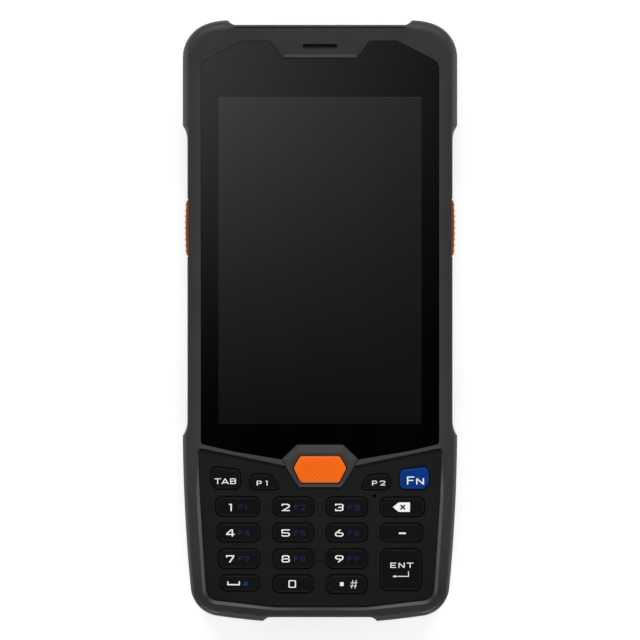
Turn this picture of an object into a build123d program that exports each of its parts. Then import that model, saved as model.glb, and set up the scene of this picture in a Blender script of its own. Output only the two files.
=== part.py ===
from build123d import *
import os
import math

# Portable barcode data terminal, lying on its back.
# Frame: +X to the right of the screen, +Y towards the earpiece and scan window,
# +Z out of the screen. Origin: centre of the overall box, on the rear plane z = 0.
# All lengths in millimetres.

# ---------------------------------------------------------------- driving sizes
TOP_Y = 77.856        # flat middle of the head end
NOTCH_Y = 78.08       # flat middle of the foot end
XW = 34.90            # half width of the waist
HB = 1.27             # how far the corner bumpers stand out from the waist line
T = 18.6              # rim height over the rear plane
Z_PART = 6.0          # parting plane between the rear and front housings
GAP_PART = 0.2        # gasket line between the housings
WALL = 2.0            # side wall
Z_WALL = 15.8         # underside of the front wall
Z_GLASS0, Z_GLASS1 = 16.9, 18.3      # cover glass
Z_PLATE1 = 17.6       # keypad plate, visible face
Z_PLATE0 = 14.8       # keypad plate, underside
Z_KEY = 18.3          # keycap top
KEY_GAP = 0.16        # gap around a keycap
KEY_R = 1.0           # keycap corner rounding
KEY_TRAVEL = 0.6
TRIG_Y0, TRIG_Y1 = 17.0, 31.90       # side triggers, along the body
TRIG_Z0, TRIG_Z1 = 7.6, 14.0
TRIG_X = 35.50        # crown of a trigger's outer face
TRIG_BOW = 0.24       # how far that face falls back at its ends
TRIG_RIBS, TRIG_PITCH = 9, 1.53
TRIG_TRAVEL = 0.6
BAT_X = 25.5          # battery cover, half width
BAT_Y0, BAT_Y1 = -52.5, 29.0
BAT_T = 1.5           # battery cover plate
CELL_X, CELL_Y0, CELL_Y1, CELL_Z1 = 22.0, -45.4, 25.2, 7.1
SCREW_R, SCREW_HEAD_R = 0.95, 1.9
HOUSING_SCREWS = [(-27.0, 67.0), (27.0, 67.0), (-28.6, -58.0), (28.6, -58.0)]
BAT_SCREWS = [(-19.0, -49.6), (19.0, -49.6)]
INSERTS = [(-22.0, 42.0), (22.0, 42.0)]   # threaded accessory inserts in the rear
INSERT_R, INSERT_LEN = 1.25, 4.0
STRAP_R, STRAP_HALF = 1.0, 8.5       # strap bar across the rear pocket
STRAP_Y, STRAP_Z = -63.2, 1.5
CAM = (-19.0, 60.0)
FLASH = (-10.4, 60.0)
SPK = (21.1, 55.6)

os.makedirs("parts", exist_ok=True)


def save(name, shape):
    shape.label = name
    export_step(shape, "parts/" + name + ".step")


# ---------------------------------------------------------------- body outline
R2 = 15.5
C2 = (24.3, TOP_Y - R2)
A70 = math.radians(70)
E2 = (C2[0] + R2 * math.cos(A70), C2[1] + R2 * math.sin(A70))
R3 = (XW - E2[0]) / (1 - math.cos(A70))
C3 = (E2[0] - R3 * math.cos(A70), E2[1] - R3 * math.sin(A70))
LOWY = -26.37
R5 = 462.7
C5 = (XW - R5, LOWY)
PHI = math.asin(43.93 / R5)
E5 = (C5[0] + R5 * math.cos(PHI), C5[1] - R5 * math.sin(PHI))
R6 = 6.9
C6 = (E5[0] - R6 * math.cos(PHI), E5[1] + R6 * math.sin(PHI))
B7 = math.radians(8.5)
E6 = (C6[0] + R6 * math.sin(B7), C6[1] - R6 * math.cos(B7))
R7 = E6[0] / math.sin(B7)
C7 = (0, E6[1] + R7 * math.cos(B7))
A7 = math.asin(14.9 / R7)


def pol(c, r, a):
    return (c[0] + r * math.cos(a), c[1] + r * math.sin(a))


def half(db, dp, dq=None):
    """Right half of the outline, from the head end clockwise to the foot end.
    db offsets the waist line, dp the head bumper line and dq the foot bumper line."""
    out = []
    dq = dp if dq is None else dq
    yt = TOP_Y + db
    ramp = [(22 + 2.3 * s, yt + s * s * (dp - db)) for s in (0, .25, .5, .75, 1)]
    out.append(('spl', ramp, (1, 0), (2.3, 2 * (dp - db))))
    r = R2 + dp
    out.append(('arc', pol(C2, r, math.pi / 2), pol(C2, r, math.radians(80)), pol(C2, r, A70)))
    r = R3 + dp
    out.append(('arc', pol(C3, r, A70), pol(C3, r, A70 / 2), pol(C3, r, 0)))
    out.append(('lin', (XW + dp, C3[1]), (XW + dp, 51.39)))
    ramp = [(XW + db + s * s * (dp - db), 47.58 + 3.81 * s) for s in (1, .75, .5, .25, 0)]
    out.append(('spl', ramp, (-2 * (dp - db), -3.81), (0, -1)))
    out.append(('lin', (XW + db, 47.58), (XW + db, LOWY)))
    ramp = []
    dp = dq
    for s in (0, .25, .5, .75, 1):
        a = -math.asin(4.0 * s / R5)
        ramp.append(pol(C5, R5 + db + s * s * (dp - db), a))
    a1 = math.asin(4.0 / R5)
    out.append(('spl', ramp, (0, -1), (2 * (dp - db) - 4 * math.tan(a1), -4.0)))
    r = R5 + dp
    out.append(('arc', pol(C5, r, -a1), pol(C5, r, -(a1 + PHI) / 2), pol(C5, r, -PHI)))
    r = R6 + dp
    a = -(math.pi / 2 - B7)
    out.append(('arc', pol(C6, r, -PHI), pol(C6, r, (-PHI + a) / 2), pol(C6, r, a)))
    r = R7 + dp
    out.append(('arc', pol(C7, r, -math.pi / 2 + B7), pol(C7, r, -math.pi / 2 + (B7 + A7) / 2),
                pol(C7, r, -math.pi / 2 + A7)))
    e = pol(C7, r, -math.pi / 2 + A7)
    yn = -(NOTCH_Y + db)
    ramp = [(13 + s * (e[0] - 13), yn + s * s * (e[1] - yn)) for s in (1, .75, .5, .25, 0)]
    out.append(('spl', ramp, (-(e[0] - 13), -2 * (e[1] - yn)), (-1, 0)))
    return out, yt, yn


def section(db, dp, z, dq=None):
    out, yt, yn = half(db, dp, dq)
    V = lambda p: Vector(p[0], p[1], z)
    M = lambda p: Vector(-p[0], p[1], z)
    ed = [Edge.make_line(V((-22, yt)), V((22, yt)))]
    for o in out:
        if o[0] == 'lin':
            ed.append(Edge.make_line(V(o[1]), V(o[2])))
        elif o[0] == 'arc':
            ed.append(Edge.make_three_point_arc(V(o[1]), V(o[2]), V(o[3])))
        else:
            ed.append(Edge.make_spline([V(p) for p in o[1]],
                                       tangents=[Vector(*o[2], 0), Vector(*o[3], 0)]))
    ed.append(Edge.make_line(V((13, yn)), V((-13, yn))))
    for o in reversed(out):
        if o[0] == 'lin':
            ed.append(Edge.make_line(M(o[2]), M(o[1])))
        elif o[0] == 'arc':
            ed.append(Edge.make_three_point_arc(M(o[3]), M(o[2]), M(o[1])))
        else:
            ed.append(Edge.make_spline([M(p) for p in reversed(o[1])],
                                       tangents=[Vector(o[3][0], -o[3][1], 0),
                                                 Vector(o[2][0], -o[2][1], 0)]))
    return Wire(ed)


def slab(db, dp, z0, z1):
    return extrude(Face(section(db, dp, z0)), z1 - z0, dir=(0, 0, 1))


# ---------------------------------------------------------------- flat outlines
def offset_poly(pts, d):
    """Offset a counter-clockwise polygon outward by d, corner to corner."""
    n = len(pts)
    res = []
    for i in range(n):
        p0, p1, p2 = pts[i - 1], pts[i], pts[(i + 1) % n]
        a = (p1[0] - p0[0], p1[1] - p0[1])
        b = (p2[0] - p1[0], p2[1] - p1[1])
        la, lb = math.hypot(*a), math.hypot(*b)
        na = (a[1] / la, -a[0] / la)
        nb = (b[1] / lb, -b[0] / lb)
        k = 1 + na[0] * nb[0] + na[1] * nb[1]
        res.append((p1[0] + d * (na[0] + nb[0]) / k, p1[1] + d * (na[1] + nb[1]) / k))
    return res


def turn(p0, p1, p2):
    return (p1[0] - p0[0]) * (p2[1] - p1[1]) - (p1[1] - p0[1]) * (p2[0] - p1[0])


def offset_r(pts, rad, d):
    n = len(pts)
    res = []
    for i in range(n):
        s = 1 if turn(pts[i - 1], pts[i], pts[(i + 1) % n]) > 0 else -1
        res.append(max(0.0, rad[i] + s * d) if rad[i] > 0 else 0.0)
    return res


def rwire(pts, rad, z):
    """Closed polygon whose corners are rounded by rad, at height z."""
    n = len(pts)
    seg = []
    for i in range(n):
        p0, p1, p2 = pts[i - 1], pts[i], pts[(i + 1) % n]
        u = (p0[0] - p1[0], p0[1] - p1[1])
        w = (p2[0] - p1[0], p2[1] - p1[1])
        lu, lw = math.hypot(*u), math.hypot(*w)
        u = (u[0] / lu, u[1] / lu)
        w = (w[0] / lw, w[1] / lw)
        c = max(-1, min(1, u[0] * w[0] + u[1] * w[1]))
        ang = math.acos(c)
        r = rad[i]
        if r < 0.02 or math.pi - ang < 0.01:
            seg.append((p1, None, p1))
            continue
        t = r / math.tan(ang / 2)
        t = min(t, 0.49 * lu, 0.49 * lw)
        r = t * math.tan(ang / 2)
        a = (p1[0] + u[0] * t, p1[1] + u[1] * t)
        b = (p1[0] + w[0] * t, p1[1] + w[1] * t)
        bis = (u[0] + w[0], u[1] + w[1])
        lb = math.hypot(*bis)
        dc = r / math.sin(ang / 2)
        cc = (p1[0] + bis[0] / lb * dc, p1[1] + bis[1] / lb * dc)
        m = (cc[0] - bis[0] / lb * r, cc[1] - bis[1] / lb * r)
        seg.append((a, m, b))
    ed = []
    for i in range(n):
        a, m, b = seg[i]
        if m is not None:
            ed.append(Edge.make_three_point_arc(Vector(*a, z), Vector(*m, z), Vector(*b, z)))
        nxt = seg[(i + 1) % n][0]
        if math.hypot(nxt[0] - b[0], nxt[1] - b[1]) > 1e-5:
            ed.append(Edge.make_line(Vector(*b, z), Vector(*nxt, z)))
    return Wire(ed)


def prism(pts, rad, z0, z1, d=0.0):
    if not isinstance(rad, (list, tuple)):
        rad = [rad] * len(pts)
    if d:
        rad = offset_r(pts, rad, d)
        pts = offset_poly(pts, d)
    return extrude(Face(rwire(pts, rad, z0)), z1 - z0, dir=(0, 0, 1))


def taper(pa, ra, za, pb, rb, zb):
    return Solid.make_loft([rwire(pa, ra, za), rwire(pb, rb, zb)], True)


def mirror_pts(right):
    """Right half listed counter-clockwise from the lowest point up, mirrored to a full loop."""
    return list(right) + [(-x, y) for x, y in reversed(right) if abs(x) > 1e-9]


def box(x0, x1, y0, y1, z0, z1):
    return Pos((x0 + x1) / 2, (y0 + y1) / 2, (z0 + z1) / 2) * Box(x1 - x0, y1 - y0, z1 - z0)


def cyl(x, y, r, z0, z1):
    return Pos(x, y, (z0 + z1) / 2) * Cylinder(r, z1 - z0)


def rect(x0, x1, y0, y1):
    return [(x0, y0), (x1, y0), (x1, y1), (x0, y1)]


def rbox(x0, x1, y0, y1, z0, z1, r):
    return prism(rect(x0, x1, y0, y1), r, z0, z1)


# scan key bezel, an irregular octagon reading as a hexagon
HEX = mirror_pts([(5.53, -43.8), (6.92, -41.8), (10.10, -36.55), (6.04, -32.70)])
HEX_R = [0.4, 0.3, 0.4, 0.4, 0.4, 0.4, 0.3, 0.4]
# inner edge of the bezel's facets
HEX_IN = mirror_pts([(5.05, -43.2), (6.0, -41.6), (8.25, -36.95), (5.45, -34.75)])
# scan key, a hexagon with rounded corners
SKEY = mirror_pts([(5.08, -42.76), (7.08, -38.79), (5.26, -35.55)])
SKEY_R = [1.2, 1.3, 1.0, 1.0, 1.3, 1.2]
# cover glass outline, before the bezel notch
GLASS = mirror_pts([(10.2, -36.52), (22.9, -34.42), (31.34, -32.46), (31.34, 68.02), (20.3, 73.68),
                    (13.1, 73.68), (9.58, 69.0)])
GLASS_R = [0.0, 0.0, 0.9, 2.8, 1.5, 0.5, 0.5, 0.5, 0.5, 1.5, 2.8, 0.9, 0.0, 0.0]
GLASS_GAP = 0.05      # bond line round the glass
# keypad plate outline, before the bezel notch
KPAD = mirror_pts([(12.0, -75.45), (29.8, -73.4), (30.3, -67.2), (31.06, -55.1),
                   (31.62, -46.0), (32.0, -33.6), (9.4, -38.3)])
KPAD_R = [20.0, 3.5, 8.0, 12.0, 12.0, 0.9, 0.0, 0.0, 0.9, 12.0, 12.0, 8.0, 3.5, 20.0]
# upper edge of the chamfer round the keypad
KPAD_TOP = mirror_pts([(12.1, -76.3), (30.75, -74.35), (31.26, -67.2), (32.05, -55.1),
                       (32.56, -46.0), (32.42, -33.25), (9.4, -38.02)])
KPAD_TOP_R = [20.0, 4.2, 8.0, 12.0, 12.0, 0.9, 0.0, 0.0, 0.9, 12.0, 12.0, 8.0, 4.2, 20.0]
Z_LIP = 18.02         # lower edge of that chamfer, above a short straight drop

# ---------------------------------------------------------------- front housing
EDGE_A1, EDGE_H1 = 0.55, 0.5           # waist edge: how far in, how far down
EDGE_A2, EDGE_H2 = 1.35 + HB, 2.3      # head bumper edge
EDGE_A3, EDGE_H3 = 0.35 + HB, 1.5      # foot bumper edge


def edge_in(t, a, h):
    return a * (1 - math.sqrt(max(0, 1 - (1 - min(t, h) / h) ** 2)))


def front_offsets(t):
    return (-edge_in(t, EDGE_A1, EDGE_H1), HB - edge_in(t, EDGE_A2, EDGE_H2),
            HB - edge_in(t, EDGE_A3, EDGE_H3))


ws = []
for t in (0, 0.02, 0.06, 0.14, 0.28, 0.5, 0.85, 1.25, 1.7, 2.3, 2.5):
    db, dp, dq = front_offsets(t)
    ws.append(section(db, dp, T - t, dq))
front = Solid.make_loft(ws, False)
front += slab(0, HB, Z_PART + 0.15, T - 2.5)
front += Solid.make_loft([section(-.15, HB - .15, Z_PART), section(0, HB, Z_PART + .15)], True)
front -= slab(-WALL, -WALL, Z_PART - 1, Z_WALL)
# glass pocket with its ledge, inside a rim that falls gently towards the glass
front -= prism(GLASS, GLASS_R, Z_GLASS0, T + 1, GLASS_GAP)
RIM_FALL, RIM_W = 0.24, 1.75


def rim_r(d):
    return [max(0.25, r) if r0 > 0 else 0.0 for r, r0 in zip(offset_r(GLASS, GLASS_R, d), GLASS_R)]


front -= taper(offset_poly(GLASS, 0.09), rim_r(0.09), T - RIM_FALL,
               offset_poly(GLASS, RIM_W), rim_r(RIM_W), T + 0.02)
# fine groove along the flat middle of the head edge
front -= extrude(Face(Wire.make_polygon([Vector(-22.4, TOP_Y - 0.56, T + 0.05),
                                         Vector(-22.4, TOP_Y - 0.74, T - 0.34),
                                         Vector(-22.4, TOP_Y - 0.92, T + 0.05)])), 44.8, dir=(1, 0, 0))
# sloped lip of the earpiece tab
front -= extrude(Face(Wire.make_polygon([Vector(-9.4, 68.8, 17.75), Vector(-9.4, 70.25, 18.62),
                                         Vector(-9.4, 68.8, 18.9)])), 18.8, dir=(1, 0, 0))
# display window through the ledge
front -= rbox(-28.2, 28.2, -31.8, 62.5, Z_WALL - 1, Z_GLASS0 + 0.1, 0.8)
# keypad opening with a chamfered lip, and the bezel seat
front -= prism(KPAD, KPAD_R, Z_WALL - 1, T + 1, 0.05)
front -= taper(offset_poly(KPAD, 0.09), KPAD_R, Z_LIP, KPAD_TOP, KPAD_TOP_R, T + 0.05)
front -= prism(HEX, HEX_R, Z_WALL - 1, T + 1, 0.08)
# earpiece slot
front -= rbox(-4.6, 4.6, 71.58, 72.87, Z_WALL - 1, T + 1, 0.63)
# side openings: triggers, volume rocker, power button
for s in (-1, 1):
    yc, zc = (TRIG_Y0 + TRIG_Y1) / 2, (TRIG_Z0 + TRIG_Z1) / 2
    hole = extrude(Plane(origin=(s * 31.5, yc, zc), x_dir=(0, 1, 0), z_dir=(s, 0, 0)) *
                   RectangleRounded(TRIG_Y1 - TRIG_Y0 + 0.5, TRIG_Z1 - TRIG_Z0 + 0.5, 1.75), 6)
    front -= hole
    # finger relief beside the trigger, up to the rim
    front -= box(min(s * 34.65, s * 37), max(s * 34.65, s * 37), TRIG_Y0 - 0.2, TRIG_Y1 + 0.2,
                 TRIG_Z1 - 1.0, T + 1)
VOL_Y0, VOL_Y1, SIDE_Z0, SIDE_Z1 = 34.8, 46.4, 8.9, 12.7
VOL_PIN = (-33.2, (34.8 + 46.4) / 2)   # rocker's pivot
PWR_Y0, PWR_Y1 = 37.2, 43.8
front -= extrude(Plane(origin=(-31.5, (VOL_Y0 + VOL_Y1) / 2, (SIDE_Z0 + SIDE_Z1) / 2),
                       x_dir=(0, 1, 0), z_dir=(-1, 0, 0)) *
                 RectangleRounded(VOL_Y1 - VOL_Y0 + 0.6, SIDE_Z1 - SIDE_Z0 + 0.5, 1.5), 6)
# sockets that the rocker's pin snaps into from inside
front -= cyl(VOL_PIN[0], VOL_PIN[1], 0.56, SIDE_Z0 - 0.95, SIDE_Z1 + 0.95)
front -= extrude(Plane(origin=(31.5, (PWR_Y0 + PWR_Y1) / 2, (SIDE_Z0 + SIDE_Z1) / 2),
                       x_dir=(0, 1, 0), z_dir=(1, 0, 0)) *
                 RectangleRounded(PWR_Y1 - PWR_Y0 + 0.5, SIDE_Z1 - SIDE_Z0 + 0.5, 1.5), 6)
# scan window opening in the head end, crossing the parting plane
WIN_X, WIN_Z0, WIN_Z1 = 15.0, 3.4, 12.8
win_cut = extrude(Plane(origin=(0, 72, (WIN_Z0 + WIN_Z1) / 2), x_dir=(1, 0, 0), z_dir=(0, 1, 0)) *
                  RectangleRounded(2 * WIN_X, WIN_Z1 - WIN_Z0, 2.2), 10)
win_step = extrude(Plane(origin=(0, 76.75, (WIN_Z0 + WIN_Z1) / 2), x_dir=(1, 0, 0), z_dir=(0, 1, 0)) *
                   RectangleRounded(2 * WIN_X + 1.6, WIN_Z1 - WIN_Z0 + 1.6, 3.0), 4)
front -= win_cut
front -= win_step
# socket opening and flap seat in the foot end
FLAP_X, FLAP_Z0, FLAP_Z1, FLAP_T = 7.5, 6.9, 12.3, 1.2
FLAP_PIN = (-FLAP_X + FLAP_T / 2, -NOTCH_Y + FLAP_T / 2)   # flap's hinge pin, along Z
front -= box(-FLAP_X - 0.08, FLAP_X + 0.35, -NOTCH_Y - 2, -NOTCH_Y + FLAP_T + 0.08,
             FLAP_Z0 - 0.12, FLAP_Z1 + 0.12)
front -= cyl(FLAP_PIN[0], FLAP_PIN[1], 0.41, FLAP_Z0 - 0.5, FLAP_Z1 + 0.5)
front -= extrude(Plane(origin=(0, -75.5, 9.6), x_dir=(1, 0, 0), z_dir=(0, -1, 0)) *
                 RectangleRounded(10.0, 4.0, 1.9), 4)
# screw bosses
for x, y in HOUSING_SCREWS[:2]:
    front += cyl(x, y, 2.3, Z_PART, Z_WALL + 0.2)
for x, y in HOUSING_SCREWS[2:]:
    front += cyl(x, y, 2.3, Z_PART, 11.2)
    s = 1 if x > 0 else -1
    front += box(min(x, s * 33.4), max(x, s * 33.4), y - 0.8, y + 0.8, Z_PART, 11.2)
for x, y in HOUSING_SCREWS:
    front -= cyl(x, y, 1.0, Z_PART - 1, 10.6)
save("front_housing", front)

# ---------------------------------------------------------------- rear housing
REAR_A, REAR_H = 3.4, 4.6


def rear_offsets(t):
    k = 1 - math.sqrt(max(0, 1 - ((REAR_H - min(t, REAR_H)) / REAR_H) ** 2))
    return -REAR_A * k, HB - (REAR_A + HB) * k


ws = []
for t in (0, 0.05, 0.2, 0.5, 1.0, 1.8, 2.8, 3.7, 4.6):
    db, dp = rear_offsets(t)
    ws.append(section(db, dp, t))
Z_R = Z_PART - GAP_PART
rear = Solid.make_loft(ws, False)
rear += slab(0, HB, 4.6, Z_R - 0.15)
rear += Solid.make_loft([section(0, HB, Z_R - .15), section(-.15, HB - .15, Z_R)], True)
rear -= slab(-2.7, -2.7, 1.8, Z_R + 1)
# thick floor around the battery bay, and the bay's tub
rear += rbox(-28.6, 28.6, -54.5, 31.5, 1.0, 3.4, 3)
rear += rbox(-CELL_X - 1.6, CELL_X + 1.6, CELL_Y0 - 1.6, CELL_Y1 + 1.6, 1.0, 8.2, 2)
for x in (-16, 16):
    for y in (-34, 14):
        rear += cyl(x, y, 1.6, 8.0, 9.0)
rear -= rbox(-BAT_X - 0.2, BAT_X + 0.2, BAT_Y0 - 0.2, BAT_Y1 + 0.2, -1, 2.2, 4.2)
rear -= rbox(-CELL_X - 0.3, CELL_X + 0.3, CELL_Y0 - 0.3, CELL_Y1 + 0.3, 1, 7.4, 1.2)
rear -= box(-5.5, 5.5, 15.5, 20.5, 7, 8.5)
# fingernail scoop at the battery cover's foot edge
rear -= Pos(0, BAT_Y0 - 1.0, -1.1) * Rot(0, 90, 0) * Cylinder(2.6, 16)
# battery screw bosses
for x, y in BAT_SCREWS:
    rear += cyl(x, y, 2.6, 2.3, 6.4)
    rear -= cyl(x, y, 1.1, 1.5, 5.6)
# housing screw bosses with deep-set heads
for x, y in HOUSING_SCREWS:
    rear += cyl(x, y, 3.2, 1.0, Z_R)
    rear -= cyl(x, y, 1.12, -1, Z_R + 1)
    rear -= cyl(x, y, SCREW_HEAD_R + 0.15, -1, 2.2)
# accessory inserts: bosses with blind threaded bores
for x, y in INSERTS:
    rear += cyl(x, y, 3.0, 1.0, 5.6)
    rear -= cyl(x, y, INSERT_R, -1, INSERT_LEN)
# strap pocket
rear += rbox(-STRAP_HALF - 1.6, STRAP_HALF + 1.6, -68.4, -58.0, 1.0, 5.4, 1.5)
rear -= rbox(-STRAP_HALF, STRAP_HALF, -67.2, -59.2, -1, 4.3, 1.6)
rear -= Pos(0, STRAP_Y, STRAP_Z) * Rot(0, 90, 0) * Cylinder(STRAP_R, 2 * STRAP_HALF + 2.2)
# charging pads' seats
PADS = [(-8 + 4 * i, -72.6) for i in range(5)]
for x, y in PADS:
    rear -= rbox(x - 1.2, x + 1.2, y - 1.6, y + 1.6, -1, 0.9, 0.5)
# camera, torch and loudspeaker openings
rear -= rbox(CAM[0] - 5.2, FLASH[0] + 3.6, CAM[1] - 5.2, CAM[1] + 5.2, -1, 1.0, 4.4)
rear -= cyl(CAM[0], CAM[1], 3.4, -1, 2.5)
rear -= cyl(FLASH[0], FLASH[1], 1.7, -1, 2.5)
for i in range(6):
    rear -= rbox(SPK[0] - 5.5, SPK[0] + 5.5, SPK[1] - 5.0 + 2.0 * i - 0.45, SPK[1] - 5.0 + 2.0 * i + 0.45,
                 -1, 2.5, 0.44)
# scan engine rails
for x in (-13.4, 12.4):
    rear += box(x, x + 1.0, 61, 74.5, 1.0, 5.0)
rear -= win_cut
rear -= win_step
rear -= box(-12.2, 12.2, 60.9, 75.8, 3.4, 14)
save("rear_housing", rear)

# ---------------------------------------------------------------- gasket between them
save("housing_gasket", slab(-0.45, HB - 0.45, Z_R, Z_PART) - slab(-1.9, -1.9, Z_R - 1, Z_PART + 1)
     - win_cut - win_step)

# ---------------------------------------------------------------- glass and display
glass = prism(GLASS, GLASS_R, Z_GLASS0, Z_GLASS1) - prism(HEX, HEX_R, Z_GLASS0 - 1, T + 1, 0.15)
try:
    glass = chamfer(glass.faces().sort_by(Axis.Z)[-1].edges(), 0.06)
except Exception as ex:
    print("glass edge left square", ex)
save("cover_glass", glass)
save("display_panel", rbox(-28.0, 28.0, -31.6, 62.3, 14.3, Z_GLASS0, 0.6))
mid = rbox(-30.6, 30.6, -33.2, 64.2, 13.3, Z_WALL, 2.0)
mid -= rbox(-28.4, 28.4, -32.0, 62.7, 14.3, Z_WALL + 1, 0.8)
mid -= prism(HEX, HEX_R, 12, 17, 1.0)
for i, (x, y) in enumerate([(-18, 40), (18, 40), (-18, 0), (18, 0)]):
    mid -= rbox(x - 5, x + 5, y - 9, y + 9, 13, 13.8, 2)
save("mid_frame", mid)
save("earpiece_mesh", rbox(-4.58, 4.58, 71.6, 72.85, 17.2, 17.5, 0.62))
save("earpiece_receiver", rbox(-7.0, 7.0, 68.2, 74.4, 13.0, Z_WALL, 1.5)
     + rbox(-4.5, 4.5, 71.65, 72.8, Z_WALL, 17.2, 0.5))

# ---------------------------------------------------------------- keypad
PX = 3.8


def kx(p):
    return (p - 320.0) / PX


def ky(p):
    return (320.6 - p) / PX


def oct_key(x0, x1, y0, y1, c=1.1):
    """Rectangular key with soft cut corners. Bounds on the layout grid, y0 above y1."""
    a, b, lo, hi = kx(x0), kx(x1), ky(y1), ky(y0)
    return [(a + c, lo), (b - c, lo), (b, lo + c), (b, hi - c), (b - c, hi), (a + c, hi),
            (a, hi - c), (a, lo + c)]


def poly_key(pts):
    """Layout-grid outline, listed clockwise on the grid, turned counter-clockwise."""
    q = [(kx(x), ky(y)) for x, y in pts]
    area = sum(q[i - 1][0] * q[i][1] - q[i][0] * q[i - 1][1] for i in range(len(q)))
    return q if area > 0 else q[::-1]


KEYS = {
    "key_1": oct_key(215.4, 259.6, 496.7, 516.5),
    "key_2": oct_key(272.6, 313.7, 496.7, 516.5),
    "key_3": oct_key(326.3, 367.9, 496.7, 516.5),
    "key_backspace": oct_key(380.3, 424.8, 497.0, 516.8),
    "key_4": oct_key(216.8, 259.9, 523.0, 542.2),
    "key_5": oct_key(272.6, 313.7, 523.0, 542.2),
    "key_6": oct_key(326.3, 367.9, 523.0, 542.2),
    "key_minus": oct_key(380.3, 422.9, 523.0, 542.1),
    "key_7": oct_key(217.9, 259.9, 548.9, 568.7),
    "key_8": oct_key(272.6, 313.7, 548.9, 568.7),
    "key_9": oct_key(326.3, 367.9, 548.9, 568.7),
    "key_enter": oct_key(380.3, 421.7, 548.5, 590.9, 1.2),
    "key_space": oct_key(219.9, 259.9, 574.8, 591.3),
    "key_0": oct_key(272.6, 313.7, 574.8, 593.1),
    "key_dot": oct_key(326.3, 367.4, 574.7, 593.8),
    "key_tab": poly_key([(213.2, 466.2), (238.2, 469.3), (240.6, 472.9), (240.6, 485.4),
                         (237.3, 489.4), (215.9, 489.4), (210.4, 482.7), (211.0, 472.9)]),
    "key_p1": poly_key([(252.5, 473.5), (268.6, 474.2), (273.9, 477.3), (279.0, 488.5),
                        (275.7, 490.0), (253.4, 490.0), (249.4, 486.3), (249.4, 478.2)]),
    "key_p2": poly_key([(387.5, 473.5), (371.4, 474.2), (366.1, 477.3), (361.0, 488.5),
                        (364.3, 490.0), (386.6, 490.0), (390.6, 486.3), (390.6, 478.2)]),
    "key_fn": poly_key([(426.8, 466.2), (401.8, 469.3), (399.4, 472.9), (399.4, 485.4),
                        (402.7, 489.4), (424.1, 489.4), (429.6, 482.7), (429.0, 472.9)]),
}
KEYS = {k: offset_poly(pts, -0.08) for k, pts in KEYS.items()}


def safe_fillet(shape, edges, r):
    for k in (1.0, 0.75, 0.5, 0.3):
        try:
            f = fillet(edges, r * k)
            if f.is_valid:
                return f
        except Exception:
            pass
    print("edge left square")
    return shape


def keycap(pts, rad, top, crown=0.45, plate0=Z_PLATE0):
    """Cap with a rounded rim, a retaining flange under the plate and a plunger nub."""
    body = prism(pts, rad, plate0 - 0.9, top)
    body = safe_fillet(body, body.faces().sort_by(Axis.Z)[-1].edges(), crown)
    fl = prism(pts, rad, plate0 - 0.9, plate0 - 0.12, 0.55)
    return body + fl


plate = prism(KPAD, KPAD_R, Z_WALL, Z_PLATE1, -0.02)
flange = prism(KPAD, KPAD_R, Z_PLATE0, Z_WALL, 0.8) & slab(-2.15, -2.15, Z_PLATE0, Z_WALL)
skirt = (prism(KPAD, KPAD_R, 13.2, Z_PLATE0, 0.6) & slab(-2.15, -2.15, 13.2, Z_PLATE0)) \
    - prism(KPAD, KPAD_R, 13, Z_PLATE0, -0.45)
plate = plate + flange + skirt
plate -= prism(HEX, HEX_R, Z_WALL - 0.02, T, 0.08)
plate -= prism(HEX, HEX_R, 12, Z_WALL, 1.0)
for k, pts in KEYS.items():
    plate -= prism(pts, KEY_R, 12, T, KEY_GAP)
MIC = (kx(374.5), ky(496.2))
plate -= cyl(MIC[0], MIC[1], 0.45, 12, T)
save("keypad_plate", plate)

for k, pts in KEYS.items():
    top = Z_KEY + (0.25 if k == "key_fn" else 0.0)
    save(k, keycap(pts, KEY_R, top))

# scan key bezel: raised ring, its facets falling away from the key
bez = prism(HEX, HEX_R, Z_PLATE0, 18.2)
bez += taper(HEX, HEX_R, 18.2, HEX_IN, [0.2] * 8, T)
bez += prism(HEX, HEX_R, Z_PLATE0, Z_WALL - 0.02, 0.8)
bez -= prism(SKEY, SKEY_R, 12, T + 1, 0.19)
save("scan_key_bezel", bez)
skey = prism(SKEY, SKEY_R, Z_PLATE0 - 0.9, T + 0.25)
skey = safe_fillet(skey, skey.faces().sort_by(Axis.Z)[-1].edges(), 0.8)
skey += prism(SKEY, SKEY_R, Z_PLATE0 - 0.9, Z_PLATE0 - 0.12, 0.7)
save("key_scan", skey)

mem = prism(KPAD, KPAD_R, 12.6, 13.2, 0.3) & slab(-2.3, -2.3, 12.6, 13.2)
mem += prism(HEX, HEX_R, 12.6, 13.2, 0.5)
save("keypad_membrane", mem)
kb = prism(KPAD, KPAD_R, 11.8, 12.6, -0.2) + prism(HEX, HEX_R, 11.8, 12.6, 0.3)
save("keypad_board", kb)
save("keypad_connector", rbox(-9, 9, -56.5, -52.5, 9.8, 11.8, 0.3))

# ---------------------------------------------------------------- electronics
board = rbox(-27.6, 27.6, -52.0, 58.0, 9.0, 9.8, 1.5) + rbox(-25.0, 25.0, -68.9, -50.0, 9.0, 9.8, 1.5)
save("main_board", board)
save("shield_cans", Compound([rbox(-24, -2, 4, 34, 9.8, 11.6, 0.6), rbox(2, 24, 14, 34, 9.8, 11.6, 0.6),
                              rbox(-24, 8, -24, 0, 9.8, 11.4, 0.6), rbox(2, 24, 38, 54, 9.8, 11.8, 0.6)]))
save("battery_connector", rbox(-5.3, 5.3, 15.7, 20.3, 7.2, 9.0, 0.4))
usb = Pos(0, -72.55, 9.6) * Rot(90, 0, 0) * extrude(RectangleRounded(8.94, 3.2, 1.55), 3.65, both=True)
usb_in = Pos(0, -73.4, 9.6) * Rot(90, 0, 0) * extrude(RectangleRounded(8.34, 2.6, 1.25), 2.85, both=True)
usb = usb - usb_in + box(-3.3, 3.3, -75.4, -70.4, 9.25, 9.95)
save("usb_socket", usb)

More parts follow.
